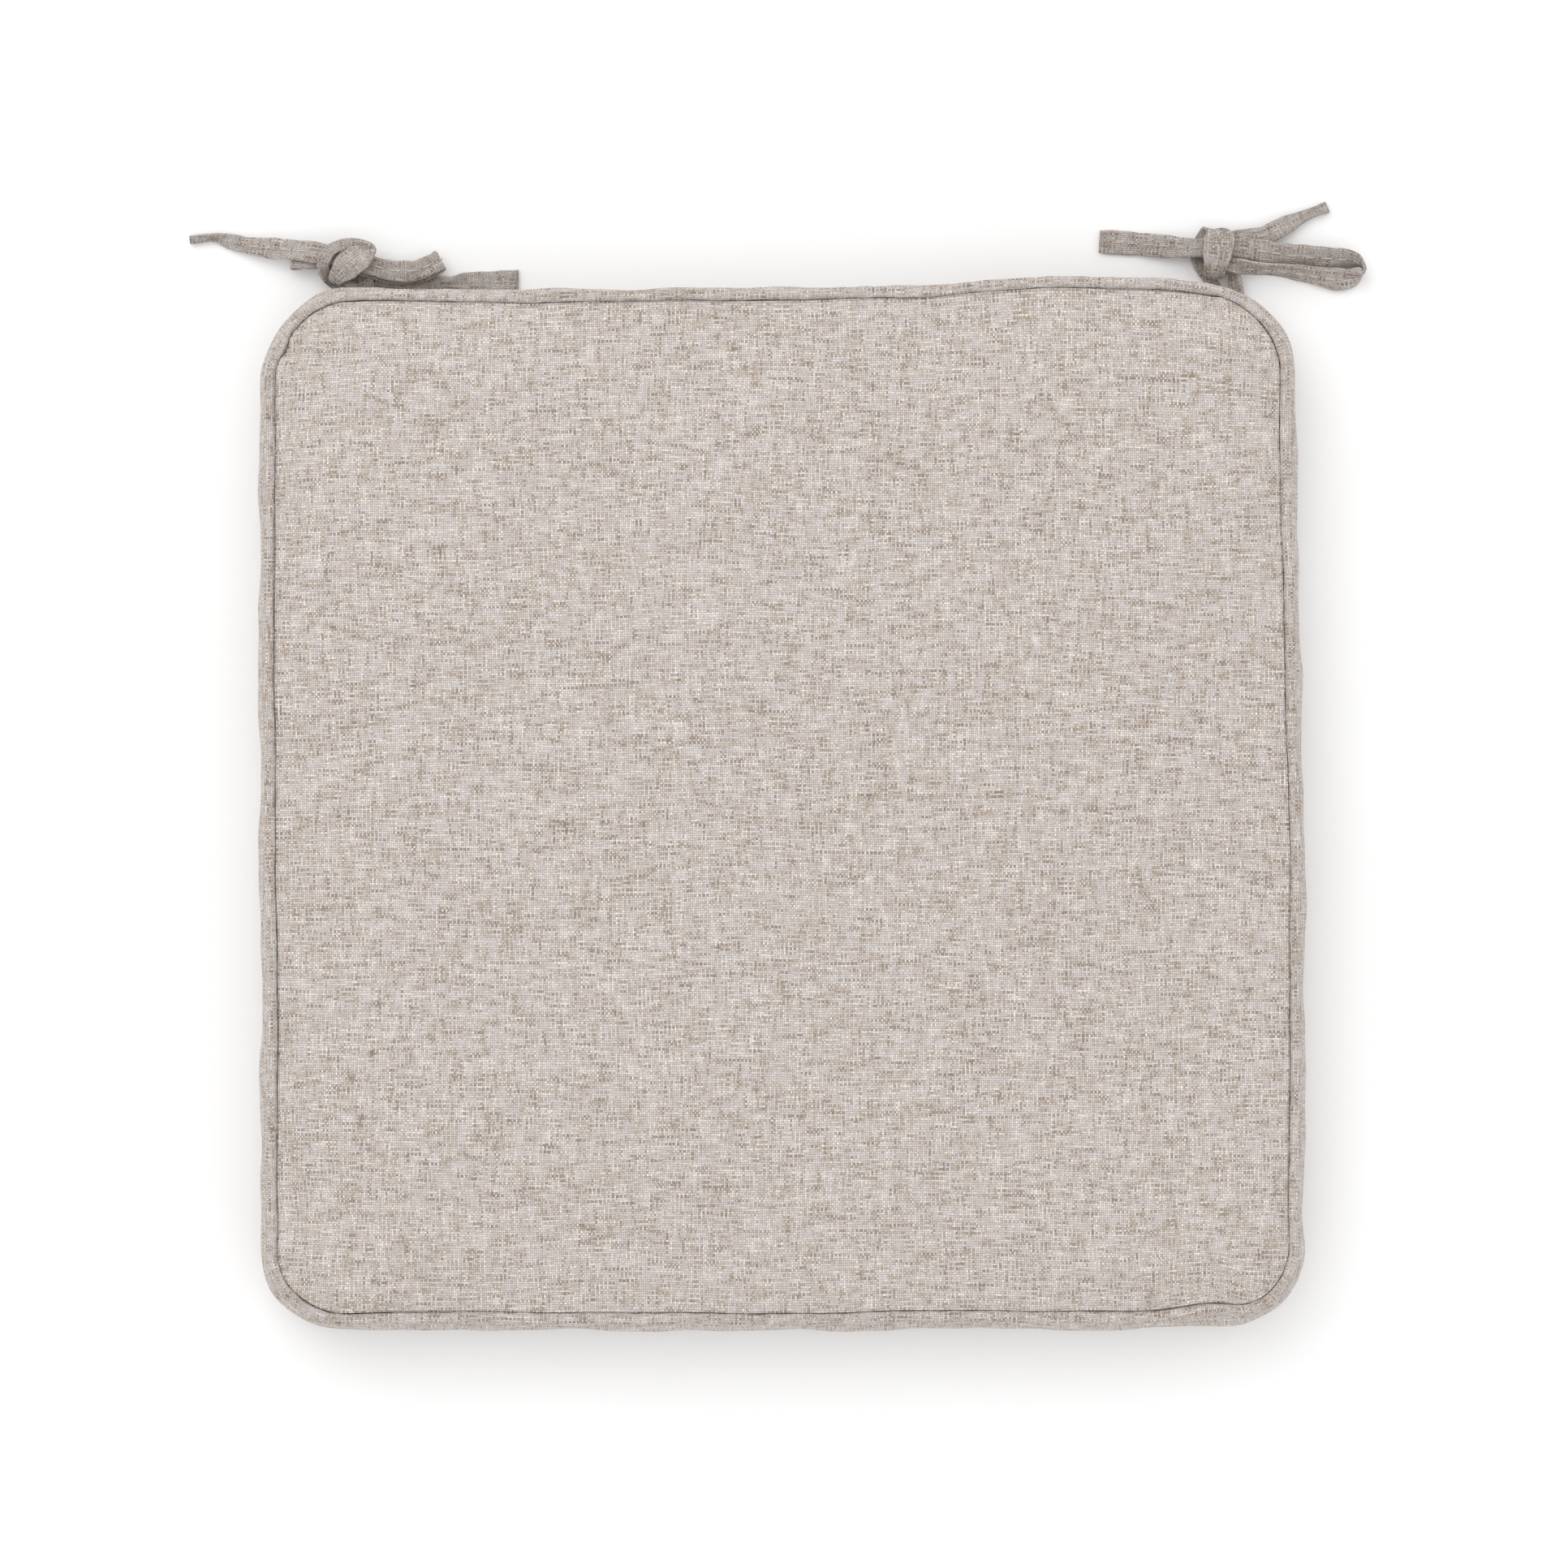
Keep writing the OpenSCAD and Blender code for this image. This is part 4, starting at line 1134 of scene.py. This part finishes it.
def zip_coil(name, shift):
    """A monofilament helix, pressed flat. One half's turns are shifted to lie between the other's."""
    coil_lo, coil_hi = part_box(f"zip_coil_{name}")
    turns = int((coil_hi.x - coil_lo.x - 2 * COIL_WIRE) / COIL_PITCH)
    angle = np.linspace(0, 2 * math.pi * turns, turns * 12 + 1)
    mid_y, mid_z = (coil_lo.y + coil_hi.y) / 2, (coil_lo.z + coil_hi.z) / 2
    half_y, half_z = (coil_hi.y - coil_lo.y) / 2 - COIL_WIRE, (coil_hi.z - coil_lo.z) / 2 - COIL_WIRE
    centre = np.stack([
        coil_lo.x + COIL_WIRE + COIL_PITCH * angle / (2 * math.pi) + shift,
        mid_y + half_y * np.sin(angle), mid_z + half_z * np.cos(angle),
    ], axis=1)
    t = np.gradient(centre, axis=0)
    t /= np.linalg.norm(t, axis=1, keepdims=True)
    side = np.cross(t, (1.0, 0, 0))
    side /= np.linalg.norm(side, axis=1, keepdims=True)
    other = np.cross(t, side)
    around = np.radians(np.arange(0, 360, 60))
    ring = np.cos(around)[None, :, None] * side[:, None] + np.sin(around)[None, :, None] * other[:, None]
    coil = sheet_piece(
        f"zip_coil_{name}_wire", centre[:, None] + COIL_WIRE * ring, angle * MM,
        np.append(around, 2 * math.pi) * MM, ZIP_COIL, loop_cols=True,
    )
    close_ends(coil, len(centre), len(around))
    finish_piece(coil, "cover", "zip_coil", f"zip_coil_{name}")


def lip_stitching(name, sign):
    """Top stitching that holds the folded lip to its zip tape."""
    height = LIP + 1.9 * MM
    x = np.arange(-ZIP_HALF + 3 * MM, ZIP_HALF - 2 * MM, 3.4 * MM)
    inset = BULGE_R - math.sqrt(BULGE_R**2 - height**2)
    places = wall_points(-x, inset, sign * height)
    directions = np.gradient(places, axis=0)
    directions /= np.linalg.norm(directions, axis=1, keepdims=True)
    slope = sign * height / BULGE_R
    normals = np.tile(np.array([0, math.sqrt(1 - slope**2), slope]), (len(x), 1))
    stitch_row(name, places, directions, normals, 2.5 * MM, 0.2 * MM, "cover")


# ---- Room ----
def area_light(name, place, size, power):
    """A square light that points at the origin."""
    data = bpy.data.lights.new(name, "AREA")
    data.size = size
    data.energy = power
    light = bpy.data.objects.new(name, data)
    turn = (-Vector(place)).to_track_quat("-Z", "Y").to_matrix().to_4x4()
    light.matrix_world = Matrix.Translation(place) @ turn
    bpy.context.scene.collection.objects.link(light)


def room():
    half = 3.0
    points = [(-half, -half, 0), (half, -half, 0), (half, half, 0), (-half, half, 0)]
    paint = plain_material("floor", (0.92, 0.92, 0.92), 0.9)
    floor = new_piece("floor", points, [[0, 1, 2, 3]], [(0, 0)] * 4, paint)
    floor.location.z = -0.05 * MM
    world = bpy.data.worlds.new("studio")
    bpy.context.scene.world = world
    world.use_nodes = True
    world.node_tree.nodes["Background"].inputs["Color"].default_value = (1, 1, 1, 1)
    world.node_tree.nodes["Background"].inputs["Strength"].default_value = 1.0
    area_light("key", (-0.9, 1.3, 2.0), 2.0, 17)
    area_light("fill", (1.0, -1.0, 2.0), 2.4, 5)
    bpy.context.scene.view_settings.view_transform = "Standard"


ties()
panel = top_panel()
finish_piece(panel, "cover", "cover_cloth", "top_panel")
piping("top_piping_cloth", TOP_PIPE_Z, "top_piping_cover")
piping("bottom_piping_cloth", LOW_PIPE_Z, "bottom_piping_cover")
piping_cord("top_piping_cord_twist", TOP_PIPE_Z, "top_piping_cord")
piping_cord("bottom_piping_cord_twist", LOW_PIPE_Z, "bottom_piping_cord")
side_walls()
rear_wall("rear_boxing_upper_cloth", 1, "rear_boxing_upper")
rear_wall("rear_boxing_lower_cloth", -1, "rear_boxing_lower")
bottom_panel()
filling()
for half, shift in (("upper", COIL_PITCH / 2), ("lower", 0)):
    zip_tape(half)
    zip_coil(half, shift)
lip_stitching("upper_lip_stitching", 1)
lip_stitching("lower_lip_stitching", -1)
room()


# ---- CAD nodes that stay ----
def dress(names, material):
    for name in names:
        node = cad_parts[name]
        node.data.materials.clear()
        node.data.materials.append(material)


dress(("zip_slider", "zip_pull_tab"), metal_material())
